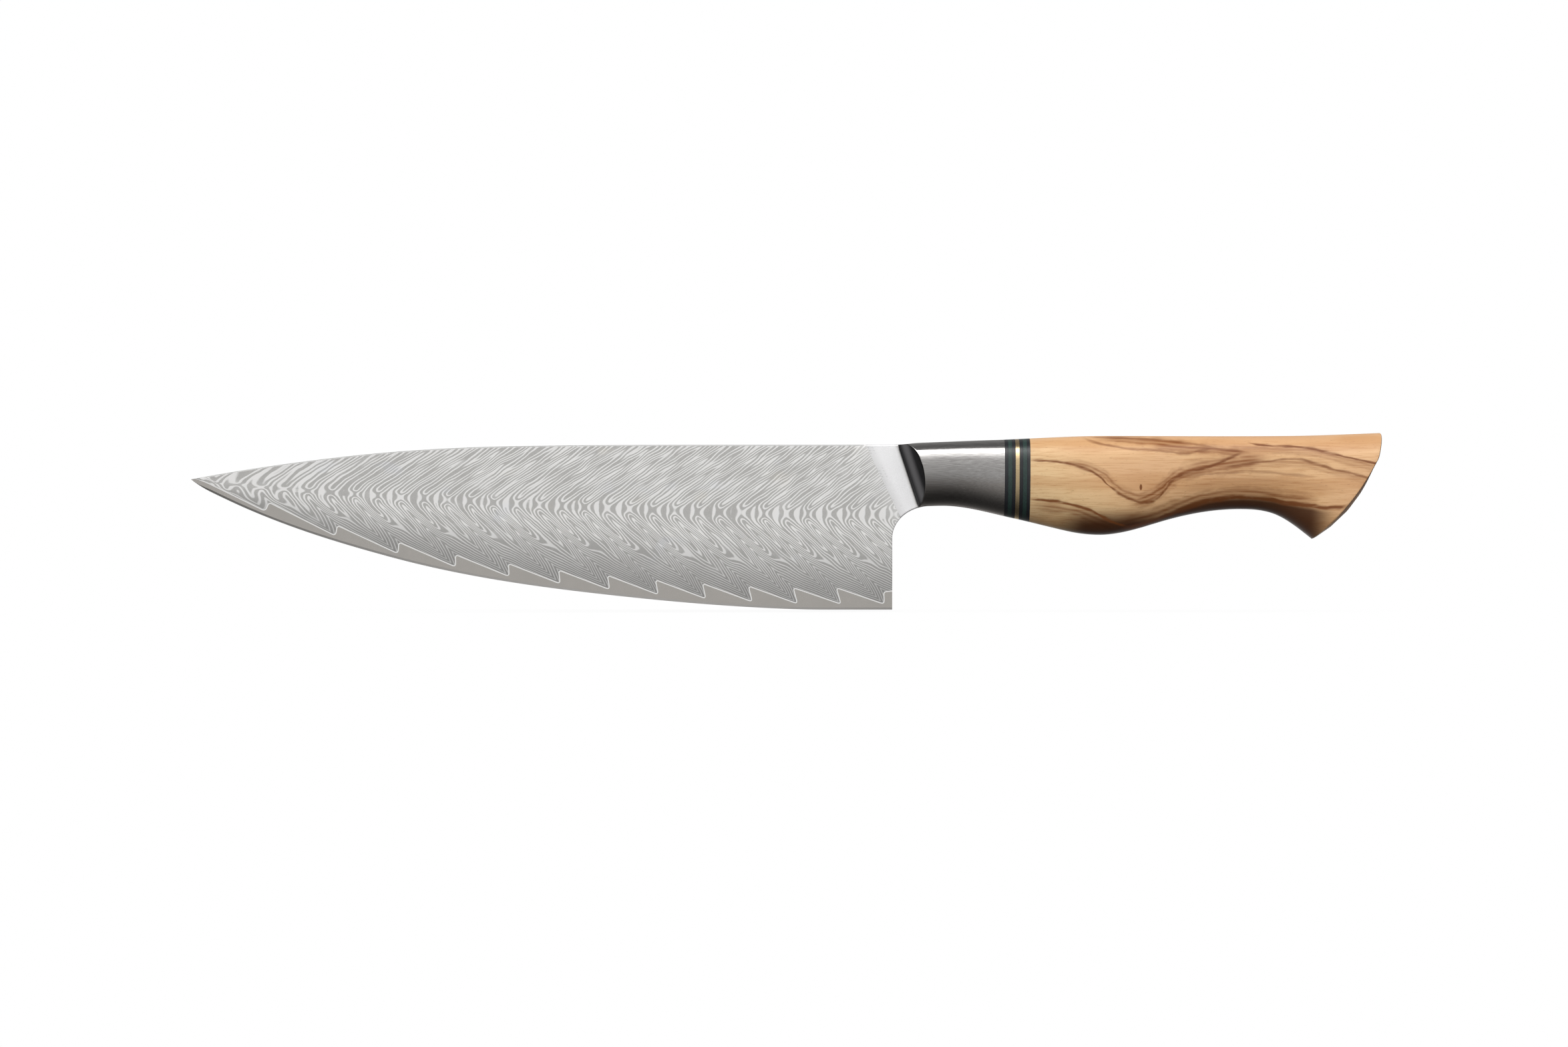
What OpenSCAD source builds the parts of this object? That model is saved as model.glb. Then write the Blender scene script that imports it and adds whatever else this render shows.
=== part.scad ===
// Chef knife: laminated blade, forged bolster, layered spacers and a hidden-tang wooden handle.
// X runs along the knife towards the butt, Z up from the edge to the spine, Y across the blade.
// The origin is at mid-length, in the middle plane, level with the lowest point of the edge.

/* [Blade] */
// Length of the cutting edge, heel to tip
blade_len = 210; // [160:1:260]
// Height of the blade at the spine, above the heel
blade_h = 49.4; // [42:0.1:62]
// Height of the tip above the heel
tip_h = 39; // [33:0.5:41]
// Thickness of the blade at the spine, above the heel
spine_t = 2.4; // [1.8:0.1:3.5]
// Thickness of the blade at the tip
tip_t = 1.2; // [0.9:0.1:1.4]
// Thickness behind the cutting edge, at the heel
edge_t = 0.5; // [0.4:0.05:0.8]
// Height of the ground cutting bevel
bevel_h = 0.9; // [0.5:0.1:1.1]
// Flat left at the very edge
edge_land = 0.06; // [0.04:0.01:0.1]
// Share of the thickness that is the hard core layer
core_share = 0.4; // [0.25:0.05:0.6]
// Height of the straight heel, below the curved choil
heel_h = 21.4; // [17:0.2:24]
// Length of the choil curve, from the heel towards the handle
choil_len = 11.5; // [9:0.5:14]

/* [Pattern border] */
// Distance between two ridges of the core layer's border
ridge_pitch = 12.9; // [9:0.1:18]
// Lean of the ridges, towards the tip for each millimetre up
ridge_lean = 1.1; // [0.8:0.05:1.3]
// Part of each pitch that is the steep side of a ridge
ridge_steep = 0.38; // [0.3:0.01:0.5]
// Height of the ridges' lowest points above the edge
border_low = 1.4; // [1.2:0.1:2]
// Height of the ridges' highest points above the edge, at the heel
border_high = 6.5; // [4:0.1:8]
// Height of the ridges' highest points above the edge, at the tip
border_high_tip = 4.2; // [3:0.1:5]

/* [Bolster] */
// Length of the plain steel neck ahead of the heel, along the spine
neck_len = 8; // [5:0.5:14]
// Where the bolster's front meets the spine, behind the heel
bolster_front = 1.8; // [1:0.1:4]
// Slope of the bolster's front, towards the butt for each millimetre down
front_rake = 0.34; // [0.2:0.01:0.36]
// Slope of the front facets, towards the butt for each millimetre out from the blade
facet_slope = 0.66; // [0.4:0.02:0.9]
// Where the bolster ends, behind the heel
bolster_end = 33.4; // [28:0.1:41]

/* [Spacers] */
// Thickness of the outer and inner black spacers
black_t = 1; // [0.6:0.1:2]
// Thickness of each green spacer
green_t = 1.2; // [0.6:0.1:2]
// Thickness of the brass spacer
brass_t = 1.2; // [0.6:0.1:2]

/* [Handle] */
// Length of the handle and bolster, heel to butt
handle_len = 146; // [125:1:176]
// Height of the handle at the belly
handle_h = 29.6; // [24:0.1:33]
// Thickness of the handle at the belly
handle_w = 23; // [18:0.5:28]
// Height of the widest level, as a share of the handle's height
widest_level = 0.64; // [0.5:0.01:0.7]
// How far the butt bulges from a straight cut
butt_bulge = 4.7; // [3:0.1:7]
// How far the butt's face is rounded back at its sides, low down
butt_crown = 3.4; // [1:0.1:4]

/* [Tang] */
// Thickness of the tang
tang_t = 3; // [2:0.1:4]
// Height of the tang at the bolster
tang_h = 12; // [9:0.1:13]
// Height of the tang at its end
tang_end_h = 6; // [4:0.1:9]
// Depth of the tang's seat in the bolster
tang_seat = 15; // [8:0.5:18]
// Reach of the tang behind the bolster
tang_reach = 68; // [40:1:75]
// Distance from the spine down to the tang's middle
tang_drop = 9.4; // [8.5:0.1:10.5]
// Adhesive gap all round the tang
glue_gap = 0.5; // [0.3:0.1:1]

/* [Hidden] */

// Profiles below are drawn for this reference knife and stretched to the sizes above
REF_BLADE_LEN = 210;
REF_BLADE_H = 49.4;
REF_TIP_H = 39;
REF_HANDLE_LEN = 146;
REF_HANDLE_H = 29.6;
REF_HANDLE_W = 23;

// [distance from heel, height, slope] of the cutting edge, tip first
EDGE_KNOTS = [[-210, 39, -0.8], [-200, 33.3, -0.48], [-150, 15.7, -0.27], [-90, 5, -0.115],
  [-45, 0.9, -0.06], [-20, 0, 0], [0, 0, 0]];
// [distance from heel, height, slope] of the spine, tip first
SPINE_KNOTS = [[-210, 39, 0.19], [-165, 45.7, 0.115], [-110, 49, 0.015], [0, 49.4, 0.005]];
// [distance from heel, height above the spine, slope] of the handle's top
TOP_KNOTS = [[0, 0.3, 0.03], [30, 1.4, 0.03], [64, 2.6, 0], [118, 2.6, 0.01], [146, 3.5, 0.04]];
// [distance from heel, depth below the spine, slope] of the handle's underside
UNDER_KNOTS = [[6, 18.8, -0.1], [15, 18.3, 0], [36, 22, 0.22], [52, 25.8, 0.23], [62, 27, 0],
  [80, 23.2, -0.3], [104, 19.3, 0], [114, 20.6, 0.35], [125.5, 28.1, 0.8]];
// [distance from heel, half-thickness, slope] of the handle
WIDTH_KNOTS = [[0, 8.5, 0.01], [33, 9.5, 0.05], [64, 11.5, 0], [103, 9.8, 0], [128, 11.6, 0.06],
  [146, 12, 0]];
// [distance from heel, roundness] of the section below its widest level: 2 is an ellipse
ROUND_KNOTS = [[0, 1.6, 0], [33, 1.8, 0.008], [64, 2.1, 0], [146, 2, 0]];
TOP_ROUNDNESS = 3.4;
RING_POINTS = 40;
POLE = RING_POINTS / 4;
RING_STEP = 3.5;
BUTT_RINGS = [0.75, 0.5, 0.25];
BIG = 400;
WELD_ANGLE = 39;
CHOIL_END_ANGLE = 75;
CHOIL_STEPS = 10;
EDGE_STEPS = 36;
SPINE_STEPS = 20;
BEVEL_OVERRUN = 0.5;
CUTTER_REACH = 3;
TIP_OVERRUN = 3;
HOLE_LEAD = 2;
SOLVE_STEPS = 30;
// How the border ends near the tip: clear of its last ridge, then a low hump up to the spine
TIP_CLEAR = 8;
TIP_HUMP = 4.5;
TIP_HUMP_H = 2;
// Where the butt's lower tip is ahead of its top, and how its crown fades upwards
BUTT_TIP_BACK = 20.3;
CROWN_FADE_DROP = 8;
CROWN_FADE_POWER = 0.7;
BUTT_SEARCH = 5;
FORM_OVERRUN = 2;

mid_x = (handle_len - blade_len) / 2;
blade_stretch = REF_BLADE_LEN / blade_len;
handle_stretch = REF_HANDLE_LEN / handle_len;
height_ratio = handle_h / REF_HANDLE_H;
spacer_t = [black_t, green_t, black_t, brass_t, black_t, green_t, black_t];
stack_end = bolster_end + sum_first(spacer_t, len(spacer_t));

// ---- Curves -----------------------------------------------------------------------------

function sum_first(list, count) = count < 1 ? 0 : list[count - 1] + sum_first(list, count - 1);

// Cubic through [position, value, slope] knots, and a straight line past its two ends
function knot_span(knots, at, n = 0) =
  n >= len(knots) - 2 || at < knots[n + 1][0] ? n : knot_span(knots, at, n + 1);
function cubic(a, b, at) =
  let (span = b[0] - a[0], t = (at - a[0]) / span)
  a[1] * (2 * pow(t, 3) - 3 * pow(t, 2) + 1) + a[2] * span * (pow(t, 3) - 2 * pow(t, 2) + t)
  + b[1] * (3 * pow(t, 2) - 2 * pow(t, 3)) + b[2] * span * (pow(t, 3) - pow(t, 2));
function along(knots, at) =
  let (first = knots[0], last = knots[len(knots) - 1], n = knot_span(knots, at))
  at <= first[0] ? first[1] + first[2] * (at - first[0])
  : at >= last[0] ? last[1] + last[2] * (at - last[0])
  : cubic(knots[n], knots[n + 1], at);

// ---- Blade profile, seen from the side, as [x from heel, z] --------------------------------

function edge_z(x) = along(EDGE_KNOTS, x * blade_stretch) * tip_h / REF_TIP_H;
// The spine keeps its curve between the tip's height and the blade's height
function spine_z(x) =
  blade_h - (REF_BLADE_H - along(SPINE_KNOTS, x * blade_stretch))
  * (blade_h - tip_h) / (REF_BLADE_H - REF_TIP_H);
function edge_points(from, to, steps) =
  [for (i = [0:steps]) let (x = from + (to - from) * i / steps) [x, edge_z(x)]];
function spine_points(from, to, steps) =
  [for (i = [0:steps]) let (x = from + (to - from) * i / steps) [x, spine_z(x)]];
// Quarter of an ellipse from the straight heel up to the underside of the bolster
choil_h = under_z(choil_len) - heel_h;
function choil_point(a) = [choil_len * (1 - cos(a)), heel_h + choil_h * sin(a)];
function choil_points(from, to) =
  [for (i = [0:CHOIL_STEPS]) choil_point(from + (to - from) * i / CHOIL_STEPS)];

// ---- Core border: a leaning wave above the edge -------------------------------------------

first_ridge = 3.35;
function ridge_top(x) =
  border_high_tip + (border_high - border_high_tip) * (1 + x / blade_len);
// x where a ridge's leaning line meets a height above the edge
function on_ridge(lean_x, height_at, high, n = SOLVE_STEPS) =
  n == 0 ? lean_x
  : let (x = on_ridge(lean_x, height_at, high, n - 1),
      lift = edge_z(x) + (high ? ridge_top(x) : height_at))
    (x + lean_x - ridge_lean * lift) / 2;
function border_point(n, high) =
  let (lean_x = first_ridge - n * ridge_pitch - (high ? 0 : ridge_steep * ridge_pitch),
    x = on_ridge(lean_x, border_low, high))
  [x, edge_z(x) + (high ? ridge_top(x) : border_low)];
ridge_count = ceil((blade_len - ridge_lean * tip_h) / ridge_pitch);
border_wave = [for (n = [0:ridge_count - 1], high = [true, false])
  if (border_point(n, false)[0] > TIP_CLEAR - blade_len) border_point(n, high)];
// Past the last ridge the border runs out to the spine, just short of the tip
tip_hump_x = TIP_HUMP - blade_len;
tip_border = [[tip_hump_x, edge_z(tip_hump_x) + TIP_HUMP_H],
  [-blade_len - 1, spine_z(-blade_len) + 1]];
border = concat([border_wave[0] + ridge_pitch * [2, 0.4]], border_wave, tip_border);

// ---- Blade solids -------------------------------------------------------------------------

// Both flats are planes: half-thickness = flat_y + flat_z * z + flat_x * x, x from the heel
flat_y = edge_t / 2;
flat_z = (spine_t - edge_t) / 2 / blade_h;
flat_x = (flat_y + flat_z * tip_h - tip_t / 2) / blade_len;
function flat_at(x, z) = flat_y + flat_z * z + flat_x * x;

// Everything inside the plane y = share * half-thickness, on the +Y side of a parting plane
module under_flat(share) {
  turn = atan(share * flat_x);
  tilt = -atan(share * flat_z * cos(turn));
  translate([0, share * flat_y, 0])
    rotate([tilt, 0, turn])
      translate([-BIG, -BIG, -BIG])
        cube([2 * BIG, BIG, 2 * BIG]);
}

module on_side(side) mirror([0, side < 0 ? 1 : 0, 0]) children();

// Upright slab of a side profile, as thick as asked each way
module slab(points, reach) {
  translate([0, reach, 0])
    rotate([90, 0, 0])
      linear_extrude(2 * reach)
        polygon(points);
}

module between_flats(points) {
  intersection() {
    slab(points, CUTTER_REACH);
    under_flat(1);
    on_side(-1) under_flat(1);
  }
}

weld_top = [-neck_len, spine_z(-neck_len)];
weld_bottom = choil_point(WELD_ANGLE);
blade_profile = concat(edge_points(0, -blade_len, EDGE_STEPS),
  spine_points(-blade_len, -neck_len, SPINE_STEPS), choil_points(WELD_ANGLE, 0));

// Everything above the border and outside the core's own flat, on one side
module jacket_space(side) {
  on_side(side)
    difference() {
      slab(concat(border, [[-blade_len - 1, BIG], [BIG, BIG]]), CUTTER_REACH);
      under_flat(core_share);
    }
}

module cladding_solid(side) {
  intersection() {
    between_flats(blade_profile);
    jacket_space(side);
  }
}

// Wedge that grinds one side of the cutting bevel, swept along the edge
function bevel_ring(x) =
  let (slope = edge_z(x + 0.5) - edge_z(x - 0.5), size = norm([1, slope]),
    up = [-slope, 1] / size, at = [x, edge_z(x)], shoulder = at + bevel_h * up,
    rate = (flat_at(shoulder[0], shoulder[1]) - edge_land / 2) / bevel_h,
    low = at - BEVEL_OVERRUN * up, high = shoulder + BEVEL_OVERRUN * up,
    low_y = edge_land / 2 - rate * BEVEL_OVERRUN,
    high_y = edge_land / 2 + rate * (bevel_h + BEVEL_OVERRUN))
  [[low[0], low_y, low[1]], [low[0], CUTTER_REACH, low[1]],
    [high[0], CUTTER_REACH, high[1]], [high[0], high_y, high[1]]];

module bevel_cutter() {
  from = -blade_len - TIP_OVERRUN;
  rings = [for (i = [0:EDGE_STEPS]) bevel_ring(from + (TIP_OVERRUN - from) * i / EDGE_STEPS)];
  tube(rings, [0, 1, 2, 3], [for (k = [3:-1:0]) EDGE_STEPS * 4 + k]);
}

// Closed tube through rings of equal length, with the faces given for its two ends
module tube(rings, start_face, end_face) {
  count = len(rings[0]);
  sides = [for (i = [0:len(rings) - 2], k = [0:count - 1], half = [0, 1])
    let (a = i * count + k, b = i * count + (k + 1) % count)
    half == 0 ? [a, b + count, b] : [a, a + count, b + count]];
  polyhedron(points = [for (ring = rings, p = ring) p],
    faces = concat(sides, [start_face, end_face]));
}

module core_steel() {
  color("#a8a39e")
    place()
      difference() {
        between_flats(blade_profile);
        for (side = [-1, 1]) {
          jacket_space(side);
          on_side(side) bevel_cutter();
        }
      }
}

module cladding_left() color("#c9c6c4") place() cladding_solid(-1);
module cladding_right() color("#c9c6c4") place() cladding_solid(1);

// ---- Handle form: one long loft that the bolster, spacers and wood are slices of -----------

function top_z(x) = blade_h + along(TOP_KNOTS, x * handle_stretch) * height_ratio;
function under_z(x) = blade_h - along(UNDER_KNOTS, x * handle_stretch) * height_ratio;
function half_w(x) = along(WIDTH_KNOTS, x * handle_stretch) * handle_w / REF_HANDLE_W;
function signed_power(value, power) = sign(value) * pow(abs(value), power);
// [y, z] on the section at x: superellipses above and below the widest level
function section_at(x, a) =
  let (top = top_z(x), under = under_z(x), level = under + widest_level * (top - under),
    roundness = sin(a) > 0 ? TOP_ROUNDNESS : along(ROUND_KNOTS, x * handle_stretch),
    rise = sin(a) > 0 ? top - level : level - under)
  [half_w(x) * signed_power(cos(a), 2 / roundness),
    level + rise * signed_power(sin(a), 2 / roundness)];
function ring_angle(k) = 360 * k / RING_POINTS;
function flat_ring(x) =
  [for (k = [0:RING_POINTS - 1]) let (p = section_at(x, ring_angle(k))) [x, p[0], p[1]]];

// Length of the handle form between two upright planes
module form_slice(from, to) {
  steps = max(1, ceil((to - from) / RING_STEP));
  tube([for (i = [0:steps]) flat_ring(from + (to - from) * i / steps)],
    [for (k = [0:RING_POINTS - 1]) k],
    [for (k = [RING_POINTS - 1:-1:0]) steps * RING_POINTS + k]);
}

// Butt: an arc from the lower tip to the top, crowned across
butt_tip_x = handle_len - BUTT_TIP_BACK / handle_stretch;
butt_tip = [butt_tip_x, under_z(butt_tip_x)];
butt_top = [handle_len, top_z(handle_len)];
butt_chord = norm(butt_top - butt_tip);
butt_r = pow(butt_chord, 2) / 8 / butt_bulge + butt_bulge / 2;
butt_out = [butt_top[1] - butt_tip[1], butt_tip[0] - butt_top[0]] / butt_chord;
butt_centre = (butt_top + butt_tip) / 2 - butt_out * (butt_r - butt_bulge);
crown_top_z = butt_top[1] - CROWN_FADE_DROP * height_ratio;
function butt_x(y, z) =
  let (depth = max(0, min(1, (crown_top_z - z) / (crown_top_z - butt_tip[1]))))
  butt_centre[0] + sqrt(max(0, pow(butt_r, 2) - pow(z - butt_centre[1], 2)))
  - butt_crown * pow(depth, CROWN_FADE_POWER) * pow(y / half_w(handle_len), 2);
// x where the form's line at one angle runs into the butt, by halving
function butt_meet(a, low, high, n = SOLVE_STEPS) =
  let (x = (low + high) / 2, p = section_at(x, a))
  n == 0 ? x : x > butt_x(p[0], p[1]) ? butt_meet(a, low, x, n - 1) : butt_meet(a, x, high, n - 1);

module handle_form() {
  steps = ceil((handle_len - stack_end) / RING_STEP);
  search_end = handle_len + BUTT_SEARCH;
  ends = [for (k = [0:RING_POINTS - 1]) butt_meet(ring_angle(k), stack_end, search_end)];
  body_rings = [for (i = [0:steps])
    [for (k = [0:RING_POINTS - 1])
      let (x = stack_end + (ends[k] - stack_end) * i / steps, p = section_at(x, ring_angle(k)))
      [x, p[0], p[1]]]];
  edge_ring = body_rings[steps];
  face_rings = [for (share = BUTT_RINGS)
    [for (p = edge_ring) [butt_x(share * p[1], p[2]), share * p[1], p[2]]]];
  rings = concat(body_rings, face_rings);
  last = len(rings) - 1;
  sides = [for (i = [0:last - 1], k = [0:RING_POINTS - 1], half = [0, 1])
    let (a = form_point(i, k, steps), b = form_point(i, k + 1, steps),
      a_next = form_point(i + 1, k, steps), b_next = form_point(i + 1, k + 1, steps))
    if (half == 0 ? b != b_next : a != a_next)
      half == 0 ? [a, b_next, b] : [a, a_next, b_next]];
  // The innermost ring is closed by strips from side to side
  strips = [for (k = [-POLE:POLE - 1], half = [0, 1])
    let (a = form_point(last, k, steps), b = form_point(last, k + 1, steps),
      b_far = form_point(last, 2 * POLE - k - 1, steps),
      a_far = form_point(last, 2 * POLE - k, steps))
    if (half == 0 ? b != b_far : a != a_far)
      half == 0 ? [a, b_far, b] : [a, a_far, b_far]];
  polyhedron(points = [for (ring = rings, p = ring) p],
    faces = concat([[for (k = [0:RING_POINTS - 1]) k]], sides, strips));
}
// Number of a point: the rings on the butt's face share the top and bottom points of its edge
function form_point(ring, k, edge_ring) =
  let (at = (k + 2 * RING_POINTS) % RING_POINTS)
  (at % (2 * POLE) == POLE ? min(ring, edge_ring) : ring) * RING_POINTS + at;

// ---- Tang, its hole and the adhesive --------------------------------------------------------

tang_z = blade_h - tang_drop;
tang_end = bolster_end + tang_reach;
function tang_profile(from, grow) =
  let (half = tang_h / 2 + grow, end_half = tang_end_h / 2 + grow)
  [[from, tang_z - half], [bolster_end, tang_z - half],
    [tang_end + grow, tang_z - end_half], [tang_end + grow, tang_z + end_half],
    [bolster_end, tang_z + half], [from, tang_z + half]];

module tang_solid() slab(tang_profile(bolster_end - tang_seat, 0), tang_t / 2);
module tang_hole() slab(tang_profile(bolster_end - HOLE_LEAD, glue_gap), tang_t / 2 + glue_gap);

module tang() color("#8f8f92") place() tang_solid();

module adhesive_fill() {
  color("#c8b98a")
    place()
      difference() {
        intersection() {
          tang_hole();
          translate([bolster_end, -CUTTER_REACH, 0])
            cube([BIG, 2 * CUTTER_REACH, BIG]);
        }
        tang_solid();
      }
}

// ---- Bolster, spacers and wood --------------------------------------------------------------

// Keeps what is behind one front facet
module behind_facet(side) {
  direction = [1, -side * facet_slope, front_rake];
  at_flat = facet_slope * spine_t / 2;
  translate([bolster_front - at_flat, 0, blade_h])
    rotate([0, -asin(direction[2] / norm(direction)), atan2(direction[1], direction[0])])
      translate([0, -BIG, -BIG])
        cube([BIG, 2 * BIG, 2 * BIG]);
}

neck_back = choil_point(CHOIL_END_ANGLE)[0];
neck_profile = concat([weld_top, [neck_back, spine_z(0)]],
  choil_points(CHOIL_END_ANGLE, WELD_ANGLE));

module bolster() {
  color("#8a8886")
    place()
      difference() {
        union() {
          between_flats(neck_profile);
          intersection() {
            form_slice(bolster_front - FORM_OVERRUN, bolster_end);
            behind_facet(-1);
            behind_facet(1);
          }
        }
        tang_solid();
      }
}

module spacer(n, tint) {
  from = bolster_end + sum_first(spacer_t, n);
  color(tint)
    place()
      difference() {
        form_slice(from, from + spacer_t[n]);
        tang_hole();
      }
}

BLACK = "#15161a";
GREEN = "#1f4038";
module spacer_black_front() spacer(0, BLACK);
module spacer_green_front() spacer(1, GREEN);
module spacer_black_mid_front() spacer(2, BLACK);
module spacer_brass() spacer(3, "#c9a35e");
module spacer_black_mid_rear() spacer(4, BLACK);
module spacer_green_rear() spacer(5, GREEN);
module spacer_black_rear() spacer(6, BLACK);

module handle() {
  color("#d9ae7c")
    place()
      difference() {
        handle_form();
        tang_hole();
      }
}

// Moves the heel datum so that the origin is at mid-length
module place() translate([-mid_x, 0, 0]) children();

core_steel();
cladding_left();
cladding_right();
bolster();
spacer_black_front();
spacer_green_front();
spacer_black_mid_front();
spacer_brass();
spacer_black_mid_rear();
spacer_green_rear();
spacer_black_rear();
tang();
adhesive_fill();
handle();
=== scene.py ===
import math

import bpy
import bmesh
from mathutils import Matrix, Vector
from mathutils.geometry import delaunay_2d_cdt
from mathutils.kdtree import KDTree


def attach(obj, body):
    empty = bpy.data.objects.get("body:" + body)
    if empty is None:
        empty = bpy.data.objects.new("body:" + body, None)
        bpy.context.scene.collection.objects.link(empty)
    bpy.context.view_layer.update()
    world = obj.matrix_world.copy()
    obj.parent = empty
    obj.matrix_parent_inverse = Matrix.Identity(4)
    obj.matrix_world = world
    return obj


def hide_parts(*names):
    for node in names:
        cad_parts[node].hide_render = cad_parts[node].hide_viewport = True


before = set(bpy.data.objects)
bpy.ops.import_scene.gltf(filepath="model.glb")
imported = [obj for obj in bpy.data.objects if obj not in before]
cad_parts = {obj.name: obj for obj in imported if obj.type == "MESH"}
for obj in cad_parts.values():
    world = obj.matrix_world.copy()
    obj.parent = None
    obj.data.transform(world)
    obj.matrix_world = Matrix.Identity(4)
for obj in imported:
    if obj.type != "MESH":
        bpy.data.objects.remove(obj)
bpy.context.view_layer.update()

bl_info = {
    "name": "Chef Knife Pieces",
    "version": (1, 0, 0),
    "blender": (4, 5, 0),
    "location": "View3D > Sidebar > Knife",
    "description": "Builds the finished pieces of a chef knife round its fixed frame",
    "category": "Mesh",
}

# ---- Sizes, in millimetres from the heel: x towards the butt, z up from the edge ----------------

MM = 0.001
BLADE_LEN = 210.0
BLADE_H = 49.4
TIP_H = 39.0
HANDLE_LEN = 146.0
MID_X = (HANDLE_LEN - BLADE_LEN) / 2
SPINE_T = 2.4
TIP_T = 1.2
EDGE_T = 0.5
CORE_SHARE = 0.4
HEEL_H = 21.4
CHOIL_LEN = 11.5
WELD_ANGLE = 39.0
NECK_LEN = 8.0
BOLSTER_FRONT = 1.8
FRONT_RAKE = 0.34
RAKED_LEN = 11.0
FACET_SLOPE = 0.66
BOLSTER_END = 33.4
BUTT_TIP_BACK = 20.3
BUTT_BULGE = 4.7
BUTT_CROWN = 3.4
CROWN_DROP = 8.0
CROWN_POWER = 0.7
WIDEST_LEVEL = 0.64
TOP_ROUNDNESS = 3.4
SPACER_MIDDLE = 40.0
BUTT_MIDDLE = 42.0
RING_ANGLES = [2 * math.pi * k / 112 for k in range(112)]

# Border wave between the core and the jackets. It starts behind the heel, which cuts it off, and
# turns up at a point given as (distance from the tip, height over the edge, reach of its rounding)
PITCH = 12.9
LEAN = 1.1
STEEP = 0.31
FIRST_RIDGE = 3.35
LOW = 1.4
HIGH = 6.5
HIGH_TIP = 4.2
RIDGES = 13
FIRST_HIGH = 5.2
WAVE_START = (4.0, FIRST_HIGH + 0.5, 0.0)
TIP_TURN = (4.5, 2.0, 1.5)

# The pattern's row of stars, as a share of the blade's height, and the lean of the layers above it
STAR_SHARE = 0.58
HIGH_LEAN = 1.35

# Outlines and sections: (distance from the heel, value, slope)
EDGE = ((-210, 39, -0.8), (-200, 33.3, -0.48), (-150, 15.7, -0.27), (-90, 5, -0.115),
        (-45, 0.9, -0.06), (-20, 0, 0), (0, 0, 0))
SPINE = ((-210, 39, 0.19), (-165, 45.7, 0.115), (-110, 49, 0.015), (0, 49.4, 0.005))
TOP = ((0, 0.3, 0.03), (30, 1.4, 0.03), (64, 2.6, 0), (118, 2.6, 0.01), (146, 3.5, 0.04))
UNDER = ((6, 18.8, -0.1), (15, 18.3, 0), (36, 22, 0.22), (52, 25.8, 0.23), (62, 27, 0),
         (80, 23.2, -0.3), (104, 19.3, 0), (114, 20.6, 0.35), (125.5, 28.1, 0.8))
WIDTH = ((0, 8.5, 0.01), (33, 9.5, 0.05), (64, 11.5, 0), (103, 9.8, 0), (128, 11.6, 0.06),
         (146, 12, 0))
ROUND = ((0, 1.6, 0), (33, 1.8, 0.008), (64, 2.1, 0), (146, 2, 0))

SPACERS = (("spacer_black_front", 1.0, "black_fibre"), ("spacer_green_front", 1.2, "green_fibre"),
           ("spacer_black_mid_front", 1.0, "black_fibre"), ("spacer_brass", 1.2, "spacer_brass"),
           ("spacer_black_mid_rear", 1.0, "black_fibre"), ("spacer_green_rear", 1.2, "green_fibre"),
           ("spacer_black_rear", 1.0, "black_fibre"))


def along(knots, at):
    """Cubic through the knots, and a straight line past the two ends."""
    if at <= knots[0][0]:
        return knots[0][1] + knots[0][2] * (at - knots[0][0])
    if at >= knots[-1][0]:
        return knots[-1][1] + knots[-1][2] * (at - knots[-1][0])
    for a, b in zip(knots, knots[1:]):
        if at < b[0]:
            gap = b[0] - a[0]
            t = (at - a[0]) / gap
            return (a[1] * (2 * t**3 - 3 * t**2 + 1) + a[2] * gap * (t**3 - 2 * t**2 + t)
                    + b[1] * (3 * t**2 - 2 * t**3) + b[2] * gap * (t**3 - t**2))


def edge_z(x):
    return along(EDGE, x)


def spine_z(x):
    return along(SPINE, x)


def top_z(x):
    return BLADE_H + along(TOP, x)


def under_z(x):
    return BLADE_H - along(UNDER, x)


FLAT_Y = EDGE_T / 2
FLAT_Z = (SPINE_T - EDGE_T) / 2 / BLADE_H
FLAT_X = (FLAT_Y + FLAT_Z * TIP_H - TIP_T / 2) / BLADE_LEN


def flat_at(x, z):
    """Half of the blade's thickness."""
    return FLAT_Y + FLAT_Z * z + FLAT_X * x


CHOIL_H = under_z(CHOIL_LEN) - HEEL_H


def choil_point(angle):
    """(x, z) on the rounded corner over the heel, where 0 is the heel and 90 the bolster."""
    a = math.radians(angle)
    return CHOIL_LEN * (1 - math.cos(a)), HEEL_H + CHOIL_H * math.sin(a)


# How far the weld line moves towards the butt per millimetre down
WELD_FOOT = choil_point(WELD_ANGLE)
WELD_LEAN = (WELD_FOOT[0] + NECK_LEN) / (spine_z(-NECK_LEN) - WELD_FOOT[1])


def choil_z(x):
    share = max(0.0, min(1.0, (CHOIL_LEN - x) / CHOIL_LEN))
    return HEEL_H + CHOIL_H * math.sqrt(1 - share * share)


def signed_power(value, power):
    return math.copysign(abs(value) ** power, value)


def section_at(x, angle):
    """(y, z) on the handle form's section, at an angle from its widest level."""
    top, under = top_z(x), under_z(x)
    level = under + WIDEST_LEVEL * (top - under)
    s, c = math.sin(angle), math.cos(angle)
    n = TOP_ROUNDNESS if s > 0 else along(ROUND, x)
    rise = top - level if s > 0 else level - under
    return along(WIDTH, x) * signed_power(c, 2 / n), level + rise * signed_power(s, 2 / n)


# ---- Meshes -------------------------------------------------------------------------------------

def place(x, y, z):
    """A point of the model in metres, from millimetres behind the heel."""
    return Vector(((x - MID_X) * MM, y * MM, z * MM))


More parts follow.
